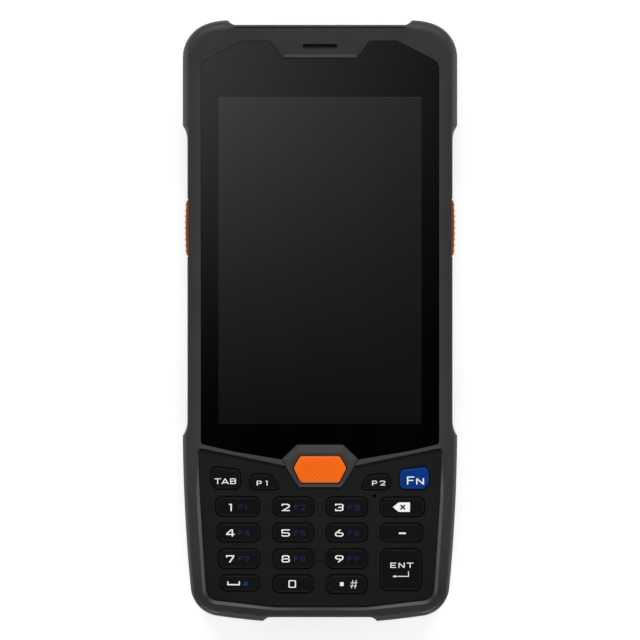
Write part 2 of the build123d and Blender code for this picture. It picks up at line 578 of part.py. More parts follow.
# side switch boards
for s, nm in ((-1, "side_switches_left"), (1, "side_switches_right")):
    b = box(min(s * 29.3, s * 30.1), max(s * 29.3, s * 30.1), 15.5, 47.0, 7.6, 12.9)
    b += box(min(s * 27.7, s * 29.4), max(s * 27.7, s * 29.4), 33.0, 34.6, 9.0, 12.9)
    for y in (20.5, 28.3):
        b += box(min(s * 30.0, s * 31.15), max(s * 30.0, s * 31.15), y - 1.6, y + 1.6, 9.2, 12.4)
    for y in ((37.2, 44.0) if s < 0 else (40.5,)):
        b += box(min(s * 30.0, s * 31.6), max(s * 30.0, s * 31.6), y - 1.4, y + 1.4, 9.4, 12.2)
    save(nm, b)

# ---------------------------------------------------------------- side controls
for s, nm in ((-1, "trigger_left"), (1, "trigger_right")):
    yc, zc = (TRIG_Y0 + TRIG_Y1) / 2, (TRIG_Z0 + TRIG_Z1) / 2
    cap = extrude(Plane(origin=(s * 31.9, yc, zc), x_dir=(0, 1, 0), z_dir=(s, 0, 0)) *
                  RectangleRounded(TRIG_Y1 - TRIG_Y0, TRIG_Z1 - TRIG_Z0, 1.5), 5.0)
    # gently bowed outer face
    bow = Wire([Edge.make_three_point_arc(Vector(s * (TRIG_X - TRIG_BOW), TRIG_Y0, 0), Vector(s * TRIG_X, yc, 0),
                                          Vector(s * (TRIG_X - TRIG_BOW), TRIG_Y1, 0)),
                Edge.make_line(Vector(s * (TRIG_X - TRIG_BOW), TRIG_Y1, 0), Vector(s * 31.9, TRIG_Y1, 0)),
                Edge.make_line(Vector(s * 31.9, TRIG_Y1, 0), Vector(s * 31.9, TRIG_Y0, 0)),
                Edge.make_line(Vector(s * 31.9, TRIG_Y0, 0), Vector(s * (TRIG_X - TRIG_BOW), TRIG_Y0, 0))])
    cap &= extrude(Face(bow), 20, dir=(0, 0, 1))
    outer = cap.faces().sort_by(Axis.X)[-1 if s > 0 else 0]
    cap = safe_fillet(cap, outer.edges(), 0.75)
    # grip ribs across the cap
    for i in range(TRIG_RIBS):
        dy = (i - (TRIG_RIBS - 1) / 2) * TRIG_PITCH
        xr = TRIG_X - TRIG_BOW * (dy / (yc - TRIG_Y0)) ** 2 - 0.14
        cap += cyl(s * xr, yc + dy, 0.32, TRIG_Z0 + 1.2, TRIG_Z1 - 1.2)
    cap += extrude(Plane(origin=(s * 31.9, yc, zc), x_dir=(0, 1, 0), z_dir=(s, 0, 0)) *
                   RectangleRounded(TRIG_Y1 - TRIG_Y0 + 1.7, TRIG_Z1 - TRIG_Z0 + 1.5, 2.0), 0.8)
    save(nm, cap)

yv, zv = (VOL_Y0 + VOL_Y1) / 2, (SIDE_Z0 + SIDE_Z1) / 2
vol = extrude(Plane(origin=(-32.5, yv, zv), x_dir=(0, 1, 0), z_dir=(-1, 0, 0)) *
              RectangleRounded(VOL_Y1 - VOL_Y0, SIDE_Z1 - SIDE_Z0, 1.3), 2.35)
vol = safe_fillet(vol, vol.faces().sort_by(Axis.X)[0].edges(), 0.35)
vol -= Pos(-35.2, yv, zv) * Box(1.2, 1.2, 1.6)
vol += box(-32.6, -32.0, VOL_Y0 + 1.2, VOL_Y0 + 3.6, 9.8, 11.8)
vol += box(-32.6, -32.0, VOL_Y1 - 3.6, VOL_Y1 - 1.2, 9.8, 11.8)
# pin that it tips on
vol += cyl(VOL_PIN[0], VOL_PIN[1], 0.5, SIDE_Z0 - 0.8, SIDE_Z1 + 0.8)
save("volume_rocker", vol)
pwr = extrude(Plane(origin=(32.2, (PWR_Y0 + PWR_Y1) / 2, zv), x_dir=(0, 1, 0), z_dir=(1, 0, 0)) *
              RectangleRounded(PWR_Y1 - PWR_Y0, SIDE_Z1 - SIDE_Z0, 1.3), 2.6)
pwr = safe_fillet(pwr, pwr.faces().sort_by(Axis.X)[-1].edges(), 0.35)
pwr += extrude(Plane(origin=(32.15, (PWR_Y0 + PWR_Y1) / 2, zv), x_dir=(0, 1, 0), z_dir=(1, 0, 0)) *
               RectangleRounded(PWR_Y1 - PWR_Y0 + 1.4, SIDE_Z1 - SIDE_Z0 + 1.2, 1.6), 0.6)
save("power_button", pwr)

# ---------------------------------------------------------------- foot end
flap = box(FLAP_PIN[0], FLAP_X, -NOTCH_Y, -NOTCH_Y + FLAP_T, FLAP_Z0, FLAP_Z1)
flap = safe_fillet(flap, flap.edges().filter_by(Axis.Y).group_by(Axis.X)[-1], 0.9)
# hinge end: a round edge on a pin
flap += cyl(FLAP_PIN[0], FLAP_PIN[1], FLAP_T / 2, FLAP_Z0, FLAP_Z1)
flap += cyl(FLAP_PIN[0], FLAP_PIN[1], 0.35, FLAP_Z0 - 0.45, FLAP_Z1 + 0.45)
flap += extrude(Plane(origin=(0, -NOTCH_Y + FLAP_T - 0.1, 9.6), x_dir=(1, 0, 0), z_dir=(0, 1, 0)) *
                RectangleRounded(8.6, 3.0, 1.4), 0.7)
# lift groove at the free end
flap -= box(FLAP_X - 2.2, FLAP_X - 1.5, -NOTCH_Y - 0.1, -NOTCH_Y + 0.4, 7.9, 11.3)
save("usb_flap", flap)

# ---------------------------------------------------------------- head end
save("scan_window", extrude(Plane(origin=(0, 76.75, (WIN_Z0 + WIN_Z1) / 2), x_dir=(1, 0, 0), z_dir=(0, 1, 0)) *
                            RectangleRounded(2 * WIN_X + 1.5, WIN_Z1 - WIN_Z0 + 1.5, 2.95), 0.7))
eng = box(-12.0, 12.0, 61.4, 74.0, 3.4, 12.2)
eng -= Pos(-5.6, 75, 7.8) * Rot(90, 0, 0) * Cylinder(3.4, 5)
eng += Pos(-5.6, 73.2, 7.8) * Rot(90, 0, 0) * Cylinder(2.4, 1.6)
eng -= Pos(4.6, 75, 7.8) * Rot(90, 0, 0) * extrude(RectangleRounded(8.6, 5.4, 1.2), 2.2, both=True)
eng += Pos(4.6, 73.0, 7.8) * Rot(90, 0, 0) * Cylinder(1.6, 1.4)
save("scan_engine", eng)

# ---------------------------------------------------------------- rear fittings
cam = rbox(CAM[0] - 5.1, FLASH[0] + 3.5, CAM[1] - 5.1, CAM[1] + 5.1, 0.25, 1.0, 4.3)
cam -= cyl(CAM[0], CAM[1], 3.3, 0, 2)
cam -= cyl(FLASH[0], FLASH[1], 1.6, 0, 2)
save("camera_surround", cam)
save("camera_window", Pos(CAM[0], CAM[1], 0.95) * Cylinder(3.28, 0.7))
save("flash_lens", Pos(FLASH[0], FLASH[1], 1.1) * Cylinder(1.58, 1.3))
cm = rbox(CAM[0] - 4.4, CAM[0] + 4.4, CAM[1] - 4.4, CAM[1] + 4.4, 2.5, 6.2, 0.6) + cyl(CAM[0], CAM[1], 3.3, 1.3, 2.6)
cm += rbox(CAM[0] - 3.0, CAM[0] + 3.0, CAM[1] - 12, CAM[1] - 4.0, 5.8, 6.2, 0.6)
cm -= rbox(CAM[0] - 6, CAM[0] + 6, CAM[1] - 6, CAM[1] + 6, 1.79, 2.51, 0.5) - cyl(CAM[0], CAM[1], 3.3, 1.2, 2.7)
save("camera_module", cm)
save("loudspeaker", rbox(SPK[0] - 7.5, SPK[0] + 7.5, SPK[1] - 6.4, SPK[1] + 6.4, 1.8, 6.0, 1.5))
save("vibration_motor", cyl(20.0, -70.0, 4.2, 1.8, 5.0))
save("charge_contacts", Compound([rbox(x - 1.2, x + 1.2, y - 1.6, y + 1.6, 0.12, 0.9, 0.5) for x, y in PADS]))
save("strap_bar", Pos(0, STRAP_Y, STRAP_Z) * Rot(0, 90, 0) * Cylinder(STRAP_R, 2 * STRAP_HALF + 2.2))
scr = []
for x, y in HOUSING_SCREWS:
    s = cyl(x, y, SCREW_HEAD_R, 1.2, 2.2) + cyl(x, y, SCREW_R, 2.2, 10.4)
    s -= extrude(Pos(x, y, 1.1) * RegularPolygon(0.95, 6), 0.6)
    scr.append(s)
save("housing_screws", Compound(scr))

# ---------------------------------------------------------------- battery
cov = rbox(-BAT_X, BAT_X, BAT_Y0, BAT_Y1, 0, BAT_T, 4.0)
cov = safe_fillet(cov, cov.faces().sort_by(Axis.Z)[0].edges(), 0.3)
# grip channels moulded into the outer face
for i in range(5):
    cov -= rbox(-14, 14, -38 + 3.0 * i, -38 + 3.0 * i + 1.1, -1, 0.45, 0.5)
for x, y in BAT_SCREWS:
    cov -= cyl(x, y, SCREW_HEAD_R + 0.25, -1, 0.95)
    cov -= cyl(x, y, SCREW_R, -1, 3)
save("battery_cover", cov)
cells = rbox(-CELL_X, CELL_X, CELL_Y0, CELL_Y1, BAT_T, CELL_Z1, 1.0)
save("battery_cells", cells)
save("battery_seal", rbox(-CELL_X - 1.9, CELL_X + 1.9, CELL_Y0 - 1.9, CELL_Y1 + 1.9, BAT_T, 2.15, 2.5)
     - rbox(-CELL_X - 0.6, CELL_X + 0.6, CELL_Y0 - 0.6, CELL_Y1 + 0.6, 1, 3, 1.5))
scr = []
for x, y in BAT_SCREWS:
    s = cyl(x, y, SCREW_HEAD_R, 0.1, 0.95) + cyl(x, y, SCREW_R, 0.95, 5.2)
    s -= extrude(Pos(x, y, 0) * Rectangle(0.5, 3.0), 0.5)
    scr.append(s)
save("battery_screws", Compound(scr))

print("nodes written:", len(os.listdir("parts")))
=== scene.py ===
import math
import bpy
import bmesh
from mathutils import Vector, Matrix


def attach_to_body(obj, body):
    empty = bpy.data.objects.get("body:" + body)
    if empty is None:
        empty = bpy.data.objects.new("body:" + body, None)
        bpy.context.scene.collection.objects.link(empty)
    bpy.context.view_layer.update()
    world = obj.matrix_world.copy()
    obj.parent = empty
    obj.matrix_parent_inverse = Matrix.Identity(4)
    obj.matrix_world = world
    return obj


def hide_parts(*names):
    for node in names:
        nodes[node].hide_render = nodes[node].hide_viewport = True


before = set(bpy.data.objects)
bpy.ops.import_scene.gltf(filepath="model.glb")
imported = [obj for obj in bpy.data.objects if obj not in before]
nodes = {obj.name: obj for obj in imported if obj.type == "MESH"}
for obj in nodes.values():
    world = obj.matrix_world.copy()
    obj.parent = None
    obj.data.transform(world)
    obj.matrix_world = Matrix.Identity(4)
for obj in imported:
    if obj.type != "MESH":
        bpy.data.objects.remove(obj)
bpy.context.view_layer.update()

scene = bpy.context.scene
MM = 0.001
PX = 3.8


def kx(p):
    return (p - 320.0) / PX


def ky(p):
    return (320.6 - p) / PX


# ------------------------------------------------------------------ camera
cam_data = bpy.data.cameras.new("camera")
cam = bpy.data.objects.new("camera", cam_data)
scene.collection.objects.link(cam)
scene.camera = cam
CAM_D = 2.0
cam_data.type = "PERSP"
cam_data.sensor_width = 36.0
cam_data.lens = 36.0 * CAM_D / (640.0 / PX * MM)
cam_data.clip_start, cam_data.clip_end = 0.05, 20.0
cam.location = (0.0, 0.6 / PX * MM, 0.0186 + CAM_D)
cam.rotation_euler = (0.0, 0.0, 0.0)

scene.view_settings.view_transform = "Standard"
scene.view_settings.look = "None"
scene.view_settings.exposure = 0.0
scene.view_settings.gamma = 1.0


# ------------------------------------------------------------------ material tools
class Mat:
    """A small node builder: one Principled shader fed by object-space textures."""

    def __init__(self, name, base, rough, metallic=0.0, spec=0.5, coat=0.0, coat_rough=0.1, ior=1.45):
        self.m = bpy.data.materials.new(name)
        self.m.use_nodes = True
        self.t = self.m.node_tree
        self.n = self.t.nodes
        self.l = self.t.links
        self.b = self.n["Principled BSDF"]
        self.b.inputs["Base Color"].default_value = (*base, 1)
        self.b.inputs["Roughness"].default_value = rough
        self.b.inputs["Metallic"].default_value = metallic
        self.b.inputs["Specular IOR Level"].default_value = spec
        self.b.inputs["Coat Weight"].default_value = coat
        self.b.inputs["Coat Roughness"].default_value = coat_rough
        self.b.inputs["IOR"].default_value = ior
        self.co = self.n.new("ShaderNodeTexCoord")
        self.normal = None

    def noise(self, scale, detail=3.0, rough=0.55, stretch=(1, 1, 1), seed=0.0):
        mp = self.n.new("ShaderNodeMapping")
        mp.inputs["Scale"].default_value = stretch
        mp.inputs["Location"].default_value = (seed, seed * 0.7, seed * 1.3)
        self.l.new(self.co.outputs["Object"], mp.inputs["Vector"])
        t = self.n.new("ShaderNodeTexNoise")
        t.inputs["Scale"].default_value = scale
        t.inputs["Detail"].default_value = detail
        t.inputs["Roughness"].default_value = rough
        self.l.new(mp.outputs["Vector"], t.inputs["Vector"])
        return t.outputs["Fac"]

    def voronoi(self, scale, feature="F1"):
        t = self.n.new("ShaderNodeTexVoronoi")
        t.feature = feature
        t.inputs["Scale"].default_value = scale
        self.l.new(self.co.outputs["Object"], t.inputs["Vector"])
        return t.outputs["Distance"]

    def remap(self, fac, a, b, lo, hi):
        r = self.n.new("ShaderNodeMapRange")
        r.inputs["From Min"].default_value = a
        r.inputs["From Max"].default_value = b
        r.inputs["To Min"].default_value = lo
        r.inputs["To Max"].default_value = hi
        self.l.new(fac, r.inputs["Value"])
        return r.outputs["Result"]

    def math(self, op, a, b):
        m = self.n.new("ShaderNodeMath")
        m.operation = op
        for i, v in enumerate((a, b)):
            if isinstance(v, (int, float)):
                m.inputs[i].default_value = v
            else:
                self.l.new(v, m.inputs[i])
        return m.outputs[0]

    def mix(self, fac, ca, cb):
        m = self.n.new("ShaderNodeMix")
        m.data_type = "RGBA"
        if isinstance(fac, (int, float)):
            m.inputs["Factor"].default_value = fac
        else:
            self.l.new(fac, m.inputs["Factor"])
        for key, c in ((6, ca), (7, cb)):
            if isinstance(c, (tuple, list)):
                m.inputs[key].default_value = (*c[:3], 1)
            else:
                self.l.new(c, m.inputs[key])
        return m.outputs[2]

    def color(self, sock):
        self.l.new(sock, self.b.inputs["Base Color"])
        return self

    def rough(self, sock):
        self.l.new(sock, self.b.inputs["Roughness"])
        return self

    def bump(self, height, dist_mm, strength=1.0):
        b = self.n.new("ShaderNodeBump")
        b.inputs["Strength"].default_value = strength
        b.inputs["Distance"].default_value = dist_mm * MM
        self.l.new(height, b.inputs["Height"])
        if self.normal is not None:
            self.l.new(self.normal, b.inputs["Normal"])
        self.normal = b.outputs["Normal"]
        self.l.new(self.normal, self.b.inputs["Normal"])
        return self

    def edge(self, radius_mm=0.35):
        """Convexity from how far a bevelled normal leans from the true one."""
        bv = self.n.new("ShaderNodeBevel")
        bv.samples = 4
        bv.inputs["Radius"].default_value = radius_mm * MM
        g = self.n.new("ShaderNodeNewGeometry")
        d = self.n.new("ShaderNodeVectorMath")
        d.operation = "DOT_PRODUCT"
        self.l.new(bv.outputs["Normal"], d.inputs[0])
        self.l.new(g.outputs["Normal"], d.inputs[1])
        return self.remap(d.outputs["Value"], 0.999, 0.86, 0.0, 1.0)


def scaled(c, k):
    return tuple(min(1.0, x * k) for x in c)


def plastic(name, base, rough=0.5, grain=2600.0, bump=0.012, wear=0.25, spec=0.5, light=1.22):
    m = Mat(name, base, rough, spec=spec)
    big = m.noise(46.0, 4.0, 0.6)
    fine = m.noise(900.0, 2.0, 0.5, seed=3.1)
    c = m.mix(m.remap(big, 0.3, 0.7, 0.0, 1.0), scaled(base, 0.93), scaled(base, 1.07))
    c = m.mix(m.math("MULTIPLY", m.edge(), wear), c, scaled(base, light * 1.35))
    c = m.mix(m.math("MULTIPLY", m.remap(fine, 0.35, 0.75, 0.0, 1.0), 0.22), c, scaled(base, light))
    m.color(c)
    m.rough(m.math("ADD", m.remap(big, 0.3, 0.7, rough - 0.05, rough + 0.05),
                   m.remap(fine, 0.3, 0.7, -0.03, 0.03)))
    m.bump(m.voronoi(grain), bump, 0.55)
    m.bump(m.noise(grain * 0.55, 3.0, 0.6, seed=1.7), bump * 1.3, 0.5)
    return m.m


def rubber(name, base, rough=0.62, grain=1800.0, bump=0.012, spec=0.35, wear=0.2):
    m = Mat(name, base, rough, spec=spec)
    big = m.noise(70.0, 4.0, 0.6)
    c = m.mix(m.remap(big, 0.3, 0.7, 0.0, 1.0), scaled(base, 0.9), scaled(base, 1.12))
    c = m.mix(m.math("MULTIPLY", m.edge(0.25), wear), c, scaled(base, 1.5))
    m.color(c)
    m.rough(m.remap(big, 0.3, 0.7, rough - 0.06, rough + 0.06))
    m.bump(m.noise(grain, 3.0, 0.6), bump, 0.6)
    return m.m


def metal(name, base, rough=0.32, stretch=(1, 14, 14), scale=500.0, bump=0.004):
    m = Mat(name, base, rough, metallic=1.0)
    f = m.noise(scale, 4.0, 0.6, stretch=stretch)
    g = m.noise(60.0, 3.0, 0.5)
    m.color(m.mix(m.remap(g, 0.3, 0.7, 0.0, 1.0), scaled(base, 0.82), scaled(base, 1.1)))
    m.rough(m.remap(f, 0.3, 0.7, rough - 0.09, rough + 0.1))
    m.bump(f, bump, 0.5)
    return m.m


HOUSE = (0.0262, 0.0262, 0.0270)


def front_plastic(name, base, rough):
    """Fine spark-eroded grain, with painted light: a painted highlight on the chamfer round the keypad, a painted sheen
    on the rim by the glass and on the strip below it, and painted shade at the foot end.
    """
    m = Mat(name, base, rough, spec=0.45)
    big = m.noise(46.0, 4.0, 0.6)
    fine = m.noise(900.0, 2.0, 0.5, seed=3.1)
    scuff = m.noise(210.0, 5.0, 0.7, stretch=(1.0, 0.35, 1.0), seed=7.7)
    c = m.mix(m.remap(big, 0.3, 0.7, 0.0, 1.0), scaled(base, 0.95), scaled(base, 1.05))
    c = m.mix(m.math("MULTIPLY", m.remap(fine, 0.35, 0.75, 0.0, 1.0), 0.22), c, scaled(base, 1.25))
    c = m.mix(m.math("MULTIPLY", m.edge(0.22), 0.34), c, scaled(base, 1.9))
    c = m.mix(m.math("MULTIPLY", m.remap(scuff, 0.62, 0.8, 0.0, 1.0), 0.25), c, scaled(base, 1.5))
    sep_ = m.n.new("ShaderNodeSeparateXYZ")
    m.l.new(m.co.outputs["Object"], sep_.inputs["Vector"])
    geo_ = m.n.new("ShaderNodeNewGeometry")
    sn = m.n.new("ShaderNodeSeparateXYZ")
    m.l.new(geo_.outputs["Normal"], sn.inputs["Vector"])
    x_abs = m.math("ABSOLUTE", sep_.outputs["X"], 0.0)
    # painted sheen: the rim beside the glass is painted lighter, strongest next to the glass
    rim = m.math("MULTIPLY", m.remap(x_abs, 0.0336, 0.0316, 0.0, 1.0),
                 m.remap(sep_.outputs["Y"], -0.034, -0.031, 0.0, 1.0))
    rim = m.math("MULTIPLY", rim, m.remap(sep_.outputs["Y"], 0.069, 0.062, 0.0, 1.0))
    c = m.mix(m.math("MULTIPLY", rim, 0.5), c, scaled(base, 1.65))
    # painted light: the sloping strip between the glass and the keypad is painted lighter, where its slope would catch
    # the light
    painted_strip_light = m.math("MULTIPLY", m.remap(x_abs, 0.0318, 0.0314, 0.0, 1.0),
                   m.math("MULTIPLY", m.remap(sep_.outputs["Y"], -0.0322, -0.0326, 0.0, 1.0),
                          m.remap(sep_.outputs["Y"], -0.0400, -0.0396, 0.0, 1.0)))
    c = m.mix(m.math("MULTIPLY", painted_strip_light, 0.34), c, scaled(base, 1.9))
    # painted shade: the foot end is darkened towards the bottom, and the edge rolled over it more so where it faces the
    # foot
    foot_shade = m.remap(sep_.outputs["Y"], -0.0655, -0.0725, 0.0, 0.28)
    roll_shade = m.math("MULTIPLY", m.remap(sn.outputs["Y"], -0.10, -0.45, 0.0, 0.42),
                   m.remap(sep_.outputs["Y"], -0.0735, -0.0752, 0.0, 1.0))
    c = m.mix(foot_shade, c, (0.0, 0.0, 0.0))
    c = m.mix(roll_shade, c, (0.0, 0.0, 0.0))
    # painted highlight on the chamfer round the keypad: painted lighter, varying along the foot edge and dimming down
    # the sides; its roughness is also lowered a little
    slope = m.math("MULTIPLY", m.remap(sn.outputs["Z"], 0.965, 0.90, 0.0, 1.0),
                   m.remap(sn.outputs["Z"], 0.35, 0.55, 0.0, 1.0))
    zone = m.math("MULTIPLY", m.remap(sep_.outputs["Y"], -0.0335, -0.037, 0.0, 1.0),
                  m.math("MULTIPLY", m.remap(x_abs, 0.03295, 0.0328, 0.0, 1.0),
                         m.remap(sep_.outputs["Y"], -0.07705, -0.0768, 0.0, 1.0)))
    lip_highlight = m.math("MULTIPLY", slope, zone)
    turn = m.remap(m.math("ABSOLUTE", sn.outputs["X"], 0.0), 0.08, 0.38, 0.0, 1.0)
    foot_lip_highlight = m.mix(m.remap(x_abs, 0.004, 0.0185, 0.0, 1.0), scaled(LIP_HIGHLIGHT, 1.06), scaled(LIP_HIGHLIGHT, 2.15))
    foot_lip_highlight = m.mix(m.remap(x_abs, 0.0205, 0.0270, 0.0, 1.0), foot_lip_highlight, scaled(LIP_HIGHLIGHT, 1.60))
    side_lip_highlight = m.mix(m.remap(sep_.outputs["Y"], -0.056, -0.065, 0.0, 1.0), scaled(LIP_HIGHLIGHT, 0.68), scaled(LIP_HIGHLIGHT, 0.25))
    c = m.mix(lip_highlight, c, m.mix(turn, foot_lip_highlight, side_lip_highlight))
    m.color(c)
    r = m.math("ADD", m.remap(big, 0.3, 0.7, rough - 0.05, rough + 0.05), m.remap(fine, 0.3, 0.7, -0.03, 0.03))
    m.rough(m.math("ADD", r, m.math("MULTIPLY", lip_highlight, -0.08)))
    m.bump(m.voronoi(2600.0), 0.012, 0.55)
    m.bump(m.noise(1430.0, 3.0, 0.6, seed=1.7), 0.016, 0.5)
    return m.m


def shade_to_foot(mat, y0, y1, k):
    """Painted shade: mixes the base colour down towards black by k between y0 and y1, in metres along the object."""
    t_ = mat.node_tree
    sh = t_.nodes["Principled BSDF"]
    src = sh.inputs["Base Color"].links[0].from_socket
    co_ = t_.nodes.new("ShaderNodeTexCoord")
    sp = t_.nodes.new("ShaderNodeSeparateXYZ")
    t_.links.new(co_.outputs["Object"], sp.inputs["Vector"])
    mr = t_.nodes.new("ShaderNodeMapRange")
    mr.inputs["From Min"].default_value, mr.inputs["From Max"].default_value = y0, y1
    mr.inputs["To Min"].default_value, mr.inputs["To Max"].default_value = 0.0, k
    t_.links.new(sp.outputs["Y"], mr.inputs["Value"])
    mx_ = t_.nodes.new("ShaderNodeMix")
    mx_.data_type = "RGBA"
    t_.links.new(mr.outputs["Result"], mx_.inputs["Factor"])
    t_.links.new(src, mx_.inputs[6])
    mx_.inputs[7].default_value = (0.0, 0.0, 0.0, 1.0)
    t_.links.new(mx_.outputs[2], sh.inputs["Base Color"])


# colour of the painted highlight on the keypad chamfer
LIP_HIGHLIGHT = (0.050, 0.050, 0.0512)
M = {}
M["housing"] = front_plastic("housing_plastic", HOUSE, 0.47)
M["rear_shell"] = plastic("rear_shell_plastic", (0.030, 0.030, 0.031), 0.52, grain=1700.0, bump=0.03, spec=0.42)
M["bezel"] = plastic("bezel_plastic", (0.0355, 0.0355, 0.037), 0.42, grain=3000.0, bump=0.007, spec=0.5, wear=0.2)
M["plate"] = plastic("keypad_plate_plastic", (0.0074, 0.0074, 0.0077), 0.58, grain=2400.0, bump=0.012, spec=0.17, wear=0.1)
# painted shade: the keypad plate darkens towards the foot end
shade_to_foot(M["plate"], -0.052, -0.074, 0.26)
M["key"] = rubber("key_silicone", (0.0027, 0.0027, 0.0029), 0.52, spec=0.14, wear=0.05)
M["key_blue"] = rubber("key_silicone_blue", (0.0001, 0.035, 0.235), 0.48, spec=0.14, wear=0.06)
M["gasket"] = rubber("gasket_rubber", (0.012, 0.012, 0.012), 0.7)
M["flap"] = rubber("flap_rubber", (0.020, 0.020, 0.021), 0.6, bump=0.02)
M["silicone"] = rubber("membrane_silicone", (0.12, 0.12, 0.12), 0.6)


def cut_orange(name, base):
    """Orange with a staggered diamond cut: painted shade darkens the hollows on the top face."""
    m = Mat(name, base, 0.42, spec=0.3)
    big = m.noise(70.0, 4.0, 0.6)
    c = m.mix(m.remap(big, 0.3, 0.7, 0.0, 1.0), scaled(base, 0.985), scaled(base, 1.02))
    s_ = m.n.new("ShaderNodeSeparateXYZ")
    m.l.new(m.co.outputs["Object"], s_.inputs["Vector"])
    a = m.math("DIVIDE", s_.outputs["X"], DIA_X * MM)
    b = m.math("DIVIDE", m.math("ADD", s_.outputs["Y"], -DIA_Y0 * MM), DIA_Y * MM)

    def near(v):
        f = m.math("FRACT", m.math("ADD", v, 100.5), 0.0)
        return m.math("ABSOLUTE", m.math("SUBTRACT", f, 0.5), 0.0)

    d = m.math("MAXIMUM", near(m.math("ADD", a, b)), near(m.math("SUBTRACT", a, b)))
    hollow_shade = m.remap(d, 0.38, 0.16, 0.0, 1.0)
    u = m.math("POWER", m.math("ABSOLUTE", m.math("DIVIDE", s_.outputs["X"], 0.0046), 0.0), 3.0)
    v = m.math("POWER", m.math("ABSOLUTE", m.math("DIVIDE", m.math("ADD", s_.outputs["Y"], -DIA_Y0 * MM), 0.0027), 0.0), 3.0)
    area_ = m.remap(m.math("ADD", u, v), 0.6, 1.1, 1.0, 0.0)
    up = m.remap(s_.outputs["Z"], 0.0184, 0.0187, 0.0, 1.0)
    m.color(m.mix(m.math("MULTIPLY", m.math("MULTIPLY", hollow_shade, area_), m.math("MULTIPLY", up, 0.38)), c, (0.80, 0.066, 0.0035)))
    m.rough(m.remap(big, 0.3, 0.7, 0.38, 0.46))
    m.bump(m.noise(2600.0, 3.0, 0.6), 0.006, 0.6)
    return m.m


DIA_X, DIA_Y, DIA_Y0 = 1.46, 1.36, -39.3
M["orange_key"] = cut_orange("scan_key_orange", (1.0, 0.156, 0.0046))


def grip_orange(name, base, outward_orange):
    """Overmoulded grip in bright orange; painted shade: every face but the one that stands outwards is painted a darker
    brown.
    """
    m = Mat(name, base, 0.55, spec=0.16)
    big = m.noise(70.0, 4.0, 0.6)
    g_ = m.n.new("ShaderNodeNewGeometry")
    s_ = m.n.new("ShaderNodeSeparateXYZ")
    m.l.new(g_.outputs["Normal"], s_.inputs["Vector"])
    outward_face = m.remap(m.math("ABSOLUTE", s_.outputs["X"], 0.0), 0.72, 0.97, 0.0, 1.0)
    c = m.mix(outward_face, base, outward_orange)
    c = m.mix(m.math("MULTIPLY", m.remap(big, 0.3, 0.7, 0.0, 1.0), 0.25), c, scaled(base, 0.8))
    m.color(c)
    m.rough(m.remap(big, 0.3, 0.7, 0.50, 0.60))
    m.bump(m.noise(2200.0, 3.0, 0.6), 0.016, 0.6)
    return m.m


# the first colour is the painted shade, the second the grip's own orange on the outward face
M["orange_trigger"] = grip_orange("trigger_orange", (0.265, 0.076, 0.0056), (0.80, 0.135, 0.0060))


def ink(name, base):
    """Printed white, a little thinner here and there."""
    m = Mat(name, base, 0.5, spec=0.5)
    m.color(m.mix(m.remap(m.noise(420.0, 3.0, 0.6), 0.3, 0.7, 0.0, 1.0), scaled(base, 0.975), base))
    m.rough(m.remap(m.noise(90.0, 3.0, 0.6), 0.3, 0.7, 0.44, 0.56))
    m.bump(m.noise(1800.0, 3.0, 0.6), 0.003, 0.6)
    return m.m


M["steel"] = metal("plated_steel", (0.50, 0.50, 0.51))
M["dark_steel"] = metal("dark_steel", (0.10, 0.10, 0.105), 0.38)
M["frame_metal"] = metal("cast_frame", (0.45, 0.45, 0.46), 0.5, stretch=(1, 1, 1), scale=900.0, bump=0.01)
M["gold"] = metal("gold_flash", (0.83, 0.55, 0.20), 0.25)
M["black_plastic"] = plastic("black_plastic", (0.012, 0.012, 0.0125), 0.45)
M["board"] = plastic("board_mask", (0.012, 0.075, 0.030), 0.3, bump=0.006)
M["cell"] = plastic("cell_wrap", (0.05, 0.052, 0.06), 0.35, bump=0.006)
M["legend_white"] = ink("legend_white", (1.0, 1.0, 1.0))
M["legend_blue"] = rubber("legend_blue", (0.0055, 0.020, 0.108), 0.5, bump=0.003)
M["legend_star"] = rubber("legend_star_blue", (0.004, 0.06, 0.26), 0.5, bump=0.003)


def mesh_mat(name):
    """Punched steel behind the earpiece slot: round holes on a fine grid, dented by bump and painted dark as painted
    shade.
    """
    m = Mat(name, (0.03, 0.03, 0.03), 0.45, metallic=0.2)
    v = m.voronoi(1800.0)
    hole_shade = m.remap(v, 0.25, 0.45, 0.0, 1.0)
    m.color(m.mix(hole_shade, (0.006, 0.006, 0.006), (0.032, 0.032, 0.033)))
    m.bump(hole_shade, 0.05, 0.8)
    return m.m


M["mesh"] = mesh_mat("earpiece_mesh_steel")


